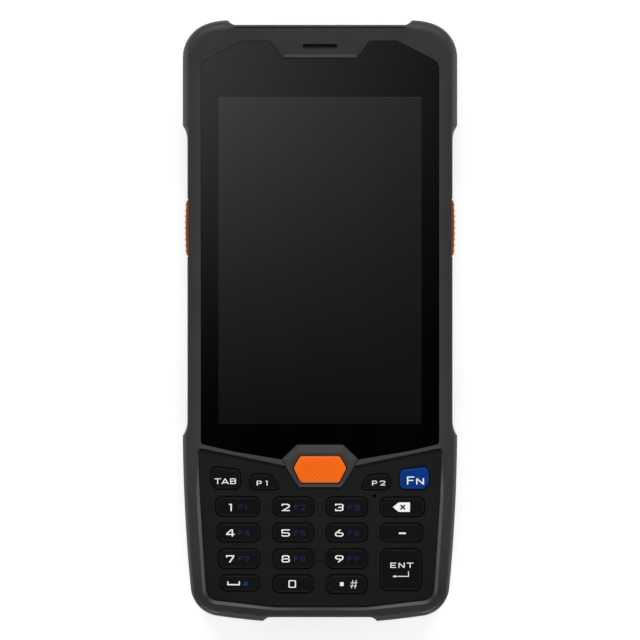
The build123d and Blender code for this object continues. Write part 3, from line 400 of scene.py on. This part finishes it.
def glass_cover(name):
    """Strengthened glass over a black ink border, with a clear window over the switched-off panel."""
    m = Mat(name, (0.0012, 0.0012, 0.0013), 0.045, spec=0.5, ior=1.5, coat=0.0)
    smudge = m.noise(38.0, 4.0, 0.65, stretch=(1.0, 0.45, 1.0))
    m.rough(m.remap(smudge, 0.35, 0.75, 0.04, 0.08))
    s3 = m.n.new("ShaderNodeSeparateXYZ")
    m.l.new(m.co.outputs["Object"], s3.inputs["Vector"])
    x, y, z = s3.outputs["X"], s3.outputs["Y"], s3.outputs["Z"]
    soft = 0.00006

    def inside(v, lo, hi):
        return m.math("MULTIPLY", m.remap(v, lo - soft, lo + soft, 0.0, 1.0), m.remap(v, hi + soft, hi - soft, 0.0, 1.0))

    panel = m.math("MULTIPLY", inside(x, -0.02676, 0.02671), inside(y, -0.02721, 0.05884))
    # painted highlight: a thin lighter line along the top edge of the panel
    top = m.math("MULTIPLY", inside(x, -0.02676, 0.02671), inside(y, 0.05840, 0.05884))
    # polariser film: a little lighter than the ink; over it a painted reflection, brightest towards the head end and
    # the left side
    glare_up = m.remap(y, -0.028, 0.060, 0.0, 1.0)
    film_and_glare = m.mix(glare_up, (0.0058, 0.0058, 0.0059), (0.0179, 0.0179, 0.0180))
    film_and_glare = m.mix(m.remap(x, -0.027, 0.027, 0.0, 1.0), film_and_glare, m.mix(glare_up, (0.0056, 0.0056, 0.0057), (0.0136, 0.0136, 0.0137)))
    ink = m.mix(m.remap(smudge, 0.35, 0.75, 0.0, 1.0), (0.0004, 0.0004, 0.00045), (0.0009, 0.0009, 0.00095))
    c = m.mix(panel, ink, film_and_glare)
    c = m.mix(top, c, (0.0205, 0.0205, 0.0206))
    m.color(c)
    m.bump(m.noise(6.0, 1.0, 0.4), 0.01, 0.05)
    return m.m


M["cover_glass"] = glass_cover("cover_glass_ink")


def window_mat(name, tint, rough=0.05, clear=0.4):
    m = Mat(name, tint, rough, spec=0.5, ior=1.49)
    s = m.noise(60.0, 3.0, 0.6)
    m.color(m.mix(m.remap(s, 0.3, 0.7, 0.0, 1.0), scaled(tint, 0.85), scaled(tint, 1.15)))
    m.rough(m.remap(s, 0.3, 0.7, rough * 0.7, rough * 1.5))
    m.b.inputs["Transmission Weight"].default_value = clear
    return m.m


M["window"] = window_mat("scan_window_tint", (0.020, 0.0015, 0.003), 0.04, 0.12)
M["lens"] = window_mat("lens_glass", (0.010, 0.011, 0.016), 0.03)
M["diffuser"] = window_mat("torch_diffuser", (0.75, 0.72, 0.5), 0.25)

CAD_MATS = {
    "front_housing": "housing", "rear_housing": "rear_shell", "housing_gasket": "gasket",
    "cover_glass": "cover_glass", "display_panel": "black_plastic", "mid_frame": "frame_metal",
    "earpiece_mesh": "mesh", "earpiece_receiver": "black_plastic", "keypad_plate": "plate",
    "scan_key_bezel": "bezel", "keypad_membrane": "silicone", "keypad_board": "board",
    "keypad_connector": "black_plastic", "main_board": "board", "shield_cans": "steel",
    "battery_connector": "black_plastic", "usb_socket": "steel",
    "side_switches_left": "board", "side_switches_right": "board",
    "scan_window": "window", "scan_engine": "black_plastic", "camera_surround": "black_plastic",
    "camera_window": "lens", "flash_lens": "diffuser", "camera_module": "black_plastic",
    "loudspeaker": "black_plastic", "vibration_motor": "steel", "charge_contacts": "gold",
    "strap_bar": "steel", "housing_screws": "dark_steel", "battery_cover": "rear_shell",
    "battery_cells": "cell", "battery_seal": "gasket", "battery_screws": "dark_steel",
    "trigger_left": "orange_trigger", "trigger_right": "orange_trigger",
    "power_button": "key", "volume_rocker": "key", "usb_flap": "flap",
}
for n, o in nodes.items():
    key = CAD_MATS.get(n)
    if key is None:
        key = "orange_key" if n == "key_scan" else ("key_blue" if n == "key_fn" else "key")
    o.data.materials.clear()
    o.data.materials.append(M[key])


# ------------------------------------------------------------------ mesh helpers
def new_obj(name, verts, faces, mat, smooth=True):
    me = bpy.data.meshes.new(name)
    me.from_pydata([Vector(v) * MM for v in verts], [], faces)
    me.validate()
    bm = bmesh.new()
    bm.from_mesh(me)
    bmesh.ops.remove_doubles(bm, verts=bm.verts, dist=1e-7)
    bmesh.ops.recalc_face_normals(bm, faces=bm.faces)
    bm.to_mesh(me)
    bm.free()
    for p in me.polygons:
        p.use_smooth = smooth
    o = bpy.data.objects.new(name, me)
    scene.collection.objects.link(o)
    me.materials.append(mat)
    return o


def offset_poly(pts, d):
    n = len(pts)
    res = []
    for i in range(n):
        p0, p1, p2 = pts[i - 1], pts[i], pts[(i + 1) % n]
        a = (p1[0] - p0[0], p1[1] - p0[1])
        b = (p2[0] - p1[0], p2[1] - p1[1])
        la, lb = math.hypot(*a), math.hypot(*b)
        na = (a[1] / la, -a[0] / la)
        nb = (b[1] / lb, -b[0] / lb)
        k = 1 + na[0] * nb[0] + na[1] * nb[1]
        res.append((p1[0] + d * (na[0] + nb[0]) / k, p1[1] + d * (na[1] + nb[1]) / k))
    return res


def round_poly(pts, rad, steps=8):
    """Corner-rounded polygon as points; every corner gives steps + 1 points."""
    n = len(pts)
    if not isinstance(rad, (list, tuple)):
        rad = [rad] * n
    out = []
    for i in range(n):
        p0, p1, p2 = pts[i - 1], pts[i], pts[(i + 1) % n]
        u = Vector((p0[0] - p1[0], p0[1] - p1[1]))
        w = Vector((p2[0] - p1[0], p2[1] - p1[1]))
        lu, lw = u.length, w.length
        u.normalize()
        w.normalize()
        ang = math.acos(max(-1, min(1, u.dot(w))))
        r = rad[i]
        if r < 1e-4 or math.pi - ang < 0.01:
            for s in range(steps + 1):
                out.append((p1[0], p1[1]))
            continue
        t = min(r / math.tan(ang / 2), 0.49 * lu, 0.49 * lw)
        r = t * math.tan(ang / 2)
        bis = (u + w).normalized()
        c = Vector(p1) + bis * (r / math.sin(ang / 2))
        a = Vector(p1) + u * t
        b = Vector(p1) + w * t
        a0 = math.atan2(a.y - c.y, a.x - c.x)
        a1 = math.atan2(b.y - c.y, b.x - c.x)
        d = a1 - a0
        while d > math.pi:
            d -= 2 * math.pi
        while d < -math.pi:
            d += 2 * math.pi
        for s in range(steps + 1):
            q = a0 + d * s / steps
            out.append((c.x + r * math.cos(q), c.y + r * math.sin(q)))
    return out


# ------------------------------------------------------------------ keycaps
def oct_key(x0, x1, y0, y1, c=1.1):
    a, b, lo, hi = kx(x0), kx(x1), ky(y1), ky(y0)
    return [(a + c, lo), (b - c, lo), (b, lo + c), (b, hi - c), (b - c, hi), (a + c, hi),
            (a, hi - c), (a, lo + c)]


def poly_key(pts):
    q = [(kx(x), ky(y)) for x, y in pts]
    area = sum(q[i - 1][0] * q[i][1] - q[i][0] * q[i - 1][1] for i in range(len(q)))
    return q if area > 0 else q[::-1]


KEYS = {
    "key_1": oct_key(215.4, 259.6, 496.7, 516.5),
    "key_2": oct_key(272.6, 313.7, 496.7, 516.5),
    "key_3": oct_key(326.3, 367.9, 496.7, 516.5),
    "key_backspace": oct_key(380.3, 424.8, 497.0, 516.8),
    "key_4": oct_key(216.8, 259.9, 523.0, 542.2),
    "key_5": oct_key(272.6, 313.7, 523.0, 542.2),
    "key_6": oct_key(326.3, 367.9, 523.0, 542.2),
    "key_minus": oct_key(380.3, 422.9, 523.0, 542.1),
    "key_7": oct_key(217.9, 259.9, 548.9, 568.7),
    "key_8": oct_key(272.6, 313.7, 548.9, 568.7),
    "key_9": oct_key(326.3, 367.9, 548.9, 568.7),
    "key_enter": oct_key(380.3, 421.7, 548.5, 590.9, 1.2),
    "key_space": oct_key(219.9, 259.9, 574.8, 591.3),
    "key_0": oct_key(272.6, 313.7, 574.8, 593.1),
    "key_dot": oct_key(326.3, 367.4, 574.7, 593.8),
    "key_tab": poly_key([(213.2, 466.2), (238.2, 469.3), (240.6, 472.9), (240.6, 485.4),
                         (237.3, 489.4), (215.9, 489.4), (210.4, 482.7), (211.0, 472.9)]),
    "key_p1": poly_key([(252.5, 473.5), (268.6, 474.2), (273.9, 477.3), (279.0, 488.5),
                        (275.7, 490.0), (253.4, 490.0), (249.4, 486.3), (249.4, 478.2)]),
    "key_p2": poly_key([(387.5, 473.5), (371.4, 474.2), (366.1, 477.3), (361.0, 488.5),
                        (364.3, 490.0), (386.6, 490.0), (390.6, 486.3), (390.6, 478.2)]),
    "key_fn": poly_key([(426.8, 466.2), (401.8, 469.3), (399.4, 472.9), (399.4, 485.4),
                        (402.7, 489.4), (424.1, 489.4), (429.6, 482.7), (429.0, 472.9)]),
}
KEYS = {k: offset_poly(pts, -0.08) for k, pts in KEYS.items()}
Z_PLATE0, Z_KEY = 14.8, 18.3


def keycap_mesh(name, pts, top, mat, rim=0.62, crown=0.10):
    """Cap as stacked rings: flange, draught wall, rounded rim, softly crowned top."""
    loops = []

    def ring(d, z):
        loops.append([(x, y, z) for x, y in round_poly(offset_poly(pts, d), max(0.25, 1.0 + d), 6)])

    zb = Z_PLATE0 - 0.9
    ring(0.55, zb)
    ring(0.55, Z_PLATE0 - 0.16)
    ring(0.51, Z_PLATE0 - 0.12)
    ring(0.0, Z_PLATE0 - 0.12)
    ring(0.0, Z_PLATE0 + 1.2)
    edge = top - crown
    steps = 6
    for i in range(steps + 1):
        a = math.pi / 2 * i / steps
        ring(-0.02 - rim * (1 - math.cos(a)), edge - rim * 0.72 + rim * 0.72 * math.sin(a))
    cx = sum(p[0] for p in pts) / len(pts)
    cy = sum(p[1] for p in pts) / len(pts)
    last = loops[-1]
    for k in (0.82, 0.6, 0.35, 0.12):
        z = edge + crown * (1 - k * k)
        loops.append([(cx + (x - cx) * k, cy + (y - cy) * k, z) for x, y, _ in last])
    n = len(loops[0])
    verts = [v for lp in loops for v in lp]
    faces = []
    for a in range(len(loops) - 1):
        for i in range(n):
            j = (i + 1) % n
            faces.append((a * n + i, a * n + j, (a + 1) * n + j, (a + 1) * n + i))
    faces.append(tuple(range((len(loops) - 1) * n, len(loops) * n)))
    faces.append(tuple(reversed(range(n))))
    return new_obj(name, verts, faces, mat)


# ------------------------------------------------------------------ floor, light, sky
floor_me = bpy.data.meshes.new("floor")
R = 3.0
ring_pts = [(R * math.cos(2 * math.pi * i / 96), R * math.sin(2 * math.pi * i / 96), 0.0) for i in range(96)]
floor_me.from_pydata(ring_pts, [], [tuple(range(96))])
floor = bpy.data.objects.new("floor", floor_me)
scene.collection.objects.link(floor)
floor.location = (0, 0, -0.00002)
fm = bpy.data.materials.new("floor_pale")
fm.use_nodes = True
fb = fm.node_tree.nodes["Principled BSDF"]
fb.inputs["Base Color"].default_value = (0.95, 0.95, 0.95, 1)
fb.inputs["Roughness"].default_value = 0.9
fb.inputs["Specular IOR Level"].default_value = 0.0
fb.inputs["Emission Color"].default_value = (1, 1, 1, 1)
fb.inputs["Emission Strength"].default_value = 0.45
nt = fm.node_tree
geo = nt.nodes.new("ShaderNodeNewGeometry")
tr = nt.nodes.new("ShaderNodeBsdfTransparent")
mx = nt.nodes.new("ShaderNodeMixShader")
out = nt.nodes["Material Output"]
nt.links.new(geo.outputs["Backfacing"], mx.inputs["Fac"])
nt.links.new(fb.outputs["BSDF"], mx.inputs[1])
nt.links.new(tr.outputs["BSDF"], mx.inputs[2])
nt.links.new(mx.outputs["Shader"], out.inputs["Surface"])
floor_me.materials.append(fm)


def area(name, loc, target, size, size_y, power, color=(1, 1, 1), spread=math.pi):
    d = bpy.data.lights.new(name, "AREA")
    d.shape = "RECTANGLE"
    d.size, d.size_y = size, size_y
    d.energy = power
    d.color = color
    d.spread = spread
    o = bpy.data.objects.new(name, d)
    scene.collection.objects.link(o)
    o.location = loc
    o.rotation_euler = (Vector(target) - Vector(loc)).to_track_quat("-Z", "Y").to_euler()
    return o


area("key_left", (-1.55, 0.15, 0.42), (0, 0, 0), 0.9, 0.5, 6.0)
area("key_right", (1.55, 0.15, 0.42), (0, 0, 0), 0.9, 0.5, 6.0)
area("head", (0.0, 1.15, 1.25), (0, 0, 0), 1.6, 0.7, 16.5)
area("foot", (0.0, -1.25, 1.15), (0, 0, 0), 1.6, 0.6, 12.5)

world = bpy.data.worlds.new("studio")
scene.world = world
world.use_nodes = True
wt = world.node_tree
wn, wl = wt.nodes, wt.links
for n_ in list(wn):
    wn.remove(n_)
w_out = wn.new("ShaderNodeOutputWorld")
w_bg = wn.new("ShaderNodeBackground")
w_co = wn.new("ShaderNodeTexCoord")
sep = wn.new("ShaderNodeSeparateXYZ")
wl.new(w_co.outputs["Generated"], sep.inputs["Vector"])


def wmath(op, a, b=None, clamp=False):
    m = wn.new("ShaderNodeMath")
    m.operation = op
    m.use_clamp = clamp
    for i, v in enumerate((a, b)):
        if v is None:
            continue
        if isinstance(v, (int, float)):
            m.inputs[i].default_value = v
        else:
            wl.new(v, m.inputs[i])
    return m.outputs[0]


def wramp(v, a, b, lo, hi, smooth=True):
    r = wn.new("ShaderNodeMapRange")
    r.interpolation_type = "SMOOTHSTEP" if smooth else "LINEAR"
    r.inputs["From Min"].default_value = a
    r.inputs["From Max"].default_value = b
    r.inputs["To Min"].default_value = lo
    r.inputs["To Max"].default_value = hi
    wl.new(v, r.inputs["Value"])
    return r.outputs["Result"]


# pale all round the horizon, dark overhead, with a soft graded card near the zenith
ring_v = wramp(sep.outputs["Z"], 0.35, 0.90, 0.42, 0.010)
side = wmath("MINIMUM", sep.outputs["X"], 0.046)
fall = wmath("ADD", wmath("ADD", 1.0, wmath("MULTIPLY", side, -46.0)),
             wmath("MULTIPLY", wmath("MULTIPLY", side, side), 500.0))
fall = wmath("MAXIMUM", fall, 0.0)
rise = wmath("POWER", wmath("DIVIDE", wmath("ADD", wmath("MULTIPLY", sep.outputs["Y"], 2000.0), 29.0), 92.0, True), 1.85)
card = wmath("MINIMUM", wmath("MULTIPLY", wmath("MULTIPLY", fall, rise), 0.505), 1.6)
near = wramp(sep.outputs["Z"], 0.990, 0.9975, 0.0, 1.0)
below = wmath("MULTIPLY", wramp(sep.outputs["Z"], -0.05, -0.6, 0.0, 1.0), wramp(sep.outputs["Y"], -0.8, 0.8, 0.35, 1.15))
strength = wmath("ADD", wmath("ADD", wmath("MULTIPLY", ring_v, wramp(sep.outputs["Z"], 0.985, 0.9975, 1.0, 0.0)),
                              wmath("MULTIPLY", card, near)), below)
lp = wn.new("ShaderNodeLightPath")
cam_mix = wn.new("ShaderNodeMix")
cam_mix.data_type = "FLOAT"
wl.new(lp.outputs["Is Camera Ray"], cam_mix.inputs[0])
wl.new(strength, cam_mix.inputs[2])
cam_mix.inputs[3].default_value = 1.0
wl.new(cam_mix.outputs[0], w_bg.inputs["Strength"])
w_bg.inputs["Color"].default_value = (1, 1, 1, 1)
wl.new(w_bg.outputs["Background"], w_out.inputs["Surface"])

# ------------------------------------------------------------------ pieces
for k, pts in KEYS.items():
    top = Z_KEY + (0.25 if k == "key_fn" else 0.0)
    cap = keycap_mesh(k + "_cap", pts, top, M["key_blue"] if k == "key_fn" else M["key"])
    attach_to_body(cap, k)
    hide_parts(k)


# ------------------------------------------------------------------ legends
def ribbon(pts, t, closed=False):
    """Left and right edges of a mitred stroke of width t along a centre line."""
    n = len(pts)
    left, right = [], []
    for i in range(n):
        p = Vector(pts[i])
        prev = Vector(pts[i - 1]) if (i > 0 or closed) else None
        nxt = Vector(pts[(i + 1) % n]) if (i < n - 1 or closed) else None
        d0 = (p - prev).normalized() if prev is not None else None
        d1 = (nxt - p).normalized() if nxt is not None else None
        if d0 is None:
            nn, k = Vector((-d1.y, d1.x)), 1.0
        elif d1 is None:
            nn, k = Vector((-d0.y, d0.x)), 1.0
        else:
            n0, n1 = Vector((-d0.y, d0.x)), Vector((-d1.y, d1.x))
            nn = (n0 + n1).normalized()
            k = 1.0 / max(0.4, nn.dot(n0))
        left.append((p.x + nn.x * t / 2 * k, p.y + nn.y * t / 2 * k))
        right.append((p.x - nn.x * t / 2 * k, p.y - nn.y * t / 2 * k))
    return left, right


def strokes_mesh(name, strokes, z, mat, h=0.026, squash=1.0):
    """Printed strokes as thin closed solids. A stroke is (points, width, closed), in millimetres.
    Points given stretched along Y are squashed back, so crossbars come out finer than stems."""
    verts, faces = [], []
    for pts, t, closed in strokes:
        lf, rt = ribbon(pts, t, closed)
        n = len(pts)
        base = len(verts)
        for e in (lf, rt):
            verts += [(x, y / squash, z - h / 2) for x, y in e]
            verts += [(x, y / squash, z + h / 2) for x, y in e]
        L0, L1, R0, R1 = base, base + n, base + 2 * n, base + 3 * n
        m_ = n if closed else n - 1
        for i in range(m_):
            j = (i + 1) % n
            faces.append((R1 + i, R1 + j, L1 + j, L1 + i))
            faces.append((L0 + i, L0 + j, R0 + j, R0 + i))
            faces.append((L1 + i, L1 + j, L0 + j, L0 + i))
            faces.append((R0 + i, R0 + j, R1 + j, R1 + i))
        if not closed:
            faces.append((L0, R0, R1, L1))
            k = n - 1
            faces.append((R0 + k, L0 + k, L1 + k, R1 + k))
    return new_obj(name, verts, faces, mat, smooth=False)


def glyph(ch, x, y, w, h, t):
    """Wide squared letters: strokes inside the box that starts at (x, y), w wide and h high."""
    a = t / 2
    L, R, B, T, C = x + a, x + w - a, y + a, y + h - a, y + h / 2
    c = min(0.24 * h, 0.17 * w)
    xm = x + w / 2
    S = []

    def o(*p):
        S.append((list(p), t, False))

    def cl(*p):
        S.append((list(p), t, True))

    if ch == "1":
        o((xm - w * 0.28, T - t * 0.15), (xm + w * 0.12, T), (xm + w * 0.12, y))
    elif ch == "2":
        o((L, T - h * 0.20), (L, T - c * 0.4), (L + c * 0.5, T), (R - c, T), (R, T - c * 0.8), (R, C + c * 0.7),
          (R - c * 0.7, C), (L + t * 0.55, B), (x + w, B))
    elif ch == "3":
        o((L, T - h * 0.2), (L, T), (R - c, T), (R, T - c * 0.7), (R, C + c * 0.5), (R - c * 0.8, C), (x + w * 0.36, C))
        o((R - c * 0.8 + t * 0.35, C - a * 0.7), (R, C - c * 0.5 - a * 0.4), (R, B + c * 0.7), (R - c, B), (L, B), (L, B + h * 0.2))
    elif ch == "4":
        o((x + w * 0.74, y), (x + w * 0.74, T), (x + w * 0.60, T), (L, B + h * 0.30), (L, B + h * 0.22), (x + w * 0.74 - a, B + h * 0.22))
        o((x + w * 0.74 + a, B + h * 0.22), (x + w, B + h * 0.22))
    elif ch == "5":
        o((x + w, T), (L, T), (L, C + a * 0.2), (R - c, C + a * 0.2), (R, C - c * 0.6), (R, B + c * 0.8), (R - c, B), (L + c * 0.4, B),
          (L, B + c * 0.4), (L, B + h * 0.16))
    elif ch == "6":
        o((x + w * 0.66, T + a * 0.6), (L + c * 0.3, C + h * 0.02), (L, C - c * 0.5), (L, B + c * 0.8), (L + c, B), (R - c, B),
          (R, B + c * 0.8), (R, C - c * 0.6), (R - c, C + a * 0.2), (L + c * 1.5, C + a * 0.2))
    elif ch == "7":
        o((L, T - h * 0.22), (L, T), (R - t * 0.1, T), (R - t * 0.1, T - h * 0.10), (x + w * 0.40, y))
    elif ch == "8":
        q = t * 0.25
        o((L + c, C), (L + q, C + c * 0.8), (L + q, T - c * 0.7), (L + c, T), (R - c, T), (R - q, T - c * 0.7),
          (R - q, C + c * 0.8), (R - c, C), (L + c, C), (L, C - c * 0.8), (L, B + c * 0.7), (L + c, B), (R - c, B),
          (R, B + c * 0.7), (R, C - c * 0.8), (R - c, C))
    elif ch == "9":
        o((x + w * 0.34, B - a * 0.6), (R - c * 0.3, C - h * 0.02), (R, C + c * 0.5), (R, T - c * 0.8), (R - c, T), (L + c, T),
          (L, T - c * 0.8), (L, C + c * 0.6), (L + c, C - a * 0.2), (R - c * 1.5, C - a * 0.2))
    elif ch == "0":
        k = 0.5 * c
        cl((L + k, T), (R - k, T), (R, T - k), (R, B + k), (R - k, B), (L + k, B), (L, B + k), (L, T - k))
    elif ch == "F":
        o((L, y), (L, T), (x + w, T))
        o((L + a, C + t * 0.05), (x + w * 0.84, C + t * 0.05))
    elif ch == "E":
        o((x + w, T), (L, T), (L, B), (x + w, B))
        o((L + a, C), (x + w * 0.88, C))
    elif ch == "N":
        o((L, y), (L, T), (L + t * 0.25, T), (R - t * 0.25, B), (R, B), (R, y + h))
    elif ch == "T":
        o((x, T), (x + w, T))
        o((xm, T - a), (xm, y))
    elif ch == "A":
        o((x + a * 0.6, y), (xm - t * 0.12, T), (xm + t * 0.12, T), (x + w - a * 0.6, y))
        o((x + w * 0.27, y + h * 0.26), (x + w * 0.73, y + h * 0.26))
    elif ch == "B":
        o((R - c, C), (L, C), (L, T), (R - c, T), (R - t * 0.2, T - c * 0.7), (R - t * 0.2, C + c * 0.7), (R - c, C))
        o((L, C - a * 0.9), (L, B), (R - c, B), (R, B + c * 0.7), (R, C - c * 0.9), (R - c * 0.6, C - a * 0.5))
    elif ch == "P":
        o((L, y), (L, T), (R - c, T), (R, T - c * 0.7), (R, C + c * 0.2), (R - c, C - t * 0.45), (L + a, C - t * 0.45))
    return S


def word(name, spec, body, z, mat, squash=1.26):
    """spec: list of (letter, x0, x1, y0, y1, stroke) on the layout grid, y0 above y1."""
    S = []
    for ch, x0, x1, y0, y1, t in spec:
        S += glyph(ch, kx(x0), ky(y1) * squash, (x1 - x0) / PX, (y1 - y0) / PX * squash, t / PX)
    o = strokes_mesh(name, S, z, mat, squash=squash)
    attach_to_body(o, body)
    return o


def line_mesh(name, strokes, body, z, mat):
    S = [([(kx(px_), ky(py_)) for px_, py_ in pts], t / PX, closed) for pts, t, closed in strokes]
    o = strokes_mesh(name, S, z, mat)
    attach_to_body(o, body)
    return o


LZ = Z_KEY + 0.008
W_ = M["legend_white"]
for i in range(9):
    k = "key_%d" % (i + 1)
    row = i // 3
    x0, f0 = ((225.9, 237.4), (281.3, 293.2), (334.9, 347.2))[i % 3]
    yt, yb = ((503.7, 511.3), (529.3, 536.8), (555.2, 562.7))[row]
    wd = 5.6 if i == 0 else 8.6
    x0 = 227.6 if i == 0 else x0
    word("legend_%d" % (i + 1), [(str(i + 1), x0 + 0.15, x0 + wd, yt + 0.1, yb - 0.2, 1.36)], k, LZ, W_)
    g0 = f0 + (5.9 if i == 0 else 7.3)
    word("legend_f%d" % (i + 1), [("F", f0 + 0.9, f0 + 5.6, yt + 1.3, yb - 1.15, 0.78),
                                  (str(i + 1), g0, g0 + 4.6, yt + 1.3, yb - 1.15, 0.78)], k, LZ,
         M["legend_blue"])
word("legend_tab", [("T", 214.5, 220.9, 478.4, 484.1, 1.0), ("A", 221.5, 228.7, 478.4, 484.1, 1.0),
                    ("B", 230.1, 236.1, 478.4, 484.1, 0.98)], "key_tab", LZ, W_)
word("legend_p1", [("P", 256.7, 261.6, 480.75, 485.6, 0.92), ("1", 264.7, 268.5, 480.75, 485.6, 0.98)], "key_p1", LZ, W_)
word("legend_p2", [("P", 372.1, 377.0, 480.7, 485.5, 0.92), ("2", 379.9, 385.2, 480.7, 485.5, 0.96)], "key_p2", LZ, W_)
word("legend_fn", [("F", 407.0, 414.5, 476.5, 484.5, 1.32), ("N", 416.2, 424.0, 478.2, 484.5, 1.28)], "key_fn",
     LZ + 0.25, W_)
word("legend_ent", [("E", 390.4, 396.1, 562.7, 567.9, 0.98), ("N", 398.5, 404.7, 562.7, 567.9, 0.98),
                    ("T", 406.9, 413.3, 562.7, 567.9, 0.98)], "key_enter", LZ, W_)
word("legend_0", [("0", 288.4, 296.1, 580.2, 587.8, 1.25)], "key_0", LZ, W_)
line_mesh("legend_minus", [([(398.9, 533.3), (405.9, 533.3)], 1.55, False)], "key_minus", LZ, W_)
line_mesh("legend_dot", [([(340.0, 584.15), (343.6, 584.15)], 3.8, False)], "key_dot", LZ, W_)
line_mesh("legend_space", [([(227.9, 581.3), (227.9, 584.7), (239.3, 584.7), (239.3, 581.3)], 1.2, False)],
          "key_space", LZ, W_)
line_mesh("legend_hash", [([(352.9, 580.1), (351.5, 588.5)], 0.72, False), ([(356.3, 580.1), (354.9, 588.5)], 0.72, False),
                          ([(350.5, 582.8), (357.4, 582.8)], 0.68, False), ([(350.0, 585.9), (356.9, 585.9)], 0.68, False)],
          "key_dot", LZ, W_)
line_mesh("legend_star", [([(245.8, 581.1), (245.8, 586.3)], 0.66, False), ([(243.4, 582.3), (248.2, 585.1)], 0.66, False),
                          ([(243.4, 585.1), (248.2, 582.3)], 0.66, False)], "key_space", LZ, M["legend_star"])


def plate_mesh(name, polys, z, mat, t=0.026):
    """Thin printed shapes: each polygon is a closed loop, counter-clockwise, in millimetres."""
    verts, faces = [], []
    for pts in polys:
        n = len(pts)
        b_ = len(verts)
        verts += [(x, y, z - t / 2) for x, y in pts] + [(x, y, z + t / 2) for x, y in pts]
        faces.append(tuple(b_ + n + i for i in range(n)))
        faces.append(tuple(b_ + n - 1 - i for i in range(n)))
        for i in range(n):
            j = (i + 1) % n
            faces.append((b_ + i, b_ + j, b_ + n + j, b_ + n + i))
    return new_obj(name, verts, faces, mat, smooth=False)


def attach(o, body):
    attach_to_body(o, body)


line_mesh("legend_return", [([(408.5, 571.3), (408.5, 576.4), (395.4, 576.4)], 0.74, False)], "key_enter", LZ, W_)
attach(plate_mesh("legend_arrow", [[(kx(392.3), ky(576.4)), (kx(395.8), ky(577.6)), (kx(395.8), ky(575.2))]], LZ, W_),
       "key_enter")
tag = [(kx(392.9), ky(507.1)), (kx(397.9), ky(511.4)), (kx(399.4), ky(511.9)), (kx(410.0), ky(511.9)), (kx(410.0), ky(502.4)),
       (kx(399.4), ky(502.4)), (kx(397.9), ky(502.9))]
attach(plate_mesh("legend_backspace", [tag], LZ, W_), "key_backspace")
line_mesh("legend_cross", [([(400.5, 505.0), (405.1, 509.5)], 1.5, False), ([(400.5, 509.5), (405.1, 505.0)], 1.5, False)],
          "key_backspace", LZ + 0.016, M["key"])

# ------------------------------------------------------------------ scan key with a diamond-cut face
SKEY = [(5.08, -42.76), (7.08, -38.79), (5.26, -35.55), (-5.26, -35.55), (-7.08, -38.79), (-5.08, -42.76)]
SKEY_R = [1.2, 1.3, 1.0, 1.0, 1.3, 1.2]


def scan_cap():
    loops = []

    def ring(d, z):
        loops.append([(x, y, z) for x, y in round_poly(offset_poly(SKEY, d), [max(0.3, r + d) for r in SKEY_R], 8)])

    zb, top, rim = 13.9, 18.78, 0.85
    ring(0.7, zb)
    ring(0.7, 14.66)
    ring(0.66, 14.68)
    ring(0.0, 14.68)
    ring(0.0, 17.2)
    for i in range(9):
        a = math.pi / 2 * i / 8
        ring(-0.02 - rim * (1 - math.cos(a)), top - 0.6 + 0.6 * math.sin(a))
    cx, cy = 0.0, -39.1
    last = loops[-1]
    for k in (0.9, 0.7, 0.45, 0.2):
        loops.append([(cx + (x - cx) * k, cy + (y - cy) * k, top) for x, y, _ in last])
    n = len(loops[0])
    verts = [v for lp in loops for v in lp]
    faces = []
    for a in range(len(loops) - 1):
        for i in range(n):
            j = (i + 1) % n
            faces.append((a * n + i, a * n + j, (a + 1) * n + j, (a + 1) * n + i))
    faces.append(tuple(range((len(loops) - 1) * n, len(loops) * n)))
    faces.append(tuple(reversed(range(n))))
    return new_obj("scan_key_cap", verts, faces, M["orange_key"])


cap = scan_cap()
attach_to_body(cap, "key_scan")
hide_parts("key_scan")


def knurl():
    """A low net of ridges with staggered diamond hollows, fading out towards the key's rounded edge."""
    z0, h = 18.775, 0.060
    nx, ny = 49, 33
    hx, hy = 4.75, 2.95

    def height(x, y):
        a, b = x / DIA_X, (y - DIA_Y0) / DIA_Y
        d = max(abs((a + b + 100.5) % 1.0 - 0.5), abs((a - b + 100.5) % 1.0 - 0.5))
        env = 1.0 - abs(x / hx) ** 3.0 - abs((y - DIA_Y0) / hy) ** 3.0
        return max(0.0, min(1.0, 2.2 * env)) * min(1.0, d / 0.34)

    verts, faces = [], []
    for j in range(ny):
        for i in range(nx):
            x = -hx + 2 * hx * i / (nx - 1)
            y = DIA_Y0 - hy + 2 * hy * j / (ny - 1)
            verts.append((x, y, z0 + h * height(x, y)))
    for j in range(ny - 1):
        for i in range(nx - 1):
            k = j * nx + i
            faces.append((k, k + 1, k + nx + 1, k + nx))
    rim = ([i for i in range(nx)] + [j * nx + nx - 1 for j in range(1, ny)]
           + [(ny - 1) * nx + i for i in range(nx - 2, -1, -1)] + [j * nx for j in range(ny - 2, 0, -1)])
    base = len(verts)
    verts += [(verts[k][0], verts[k][1], z0 - 0.05) for k in rim]
    m_ = len(rim)
    for i in range(m_):
        j = (i + 1) % m_
        faces.append((rim[j], rim[i], base + i, base + j))
    faces.append(tuple(base + m_ - 1 - i for i in range(m_)))
    return new_obj("scan_key_diamonds", verts, faces, M["orange_key"])


attach(knurl(), "key_scan")

bpy.context.view_layer.update()
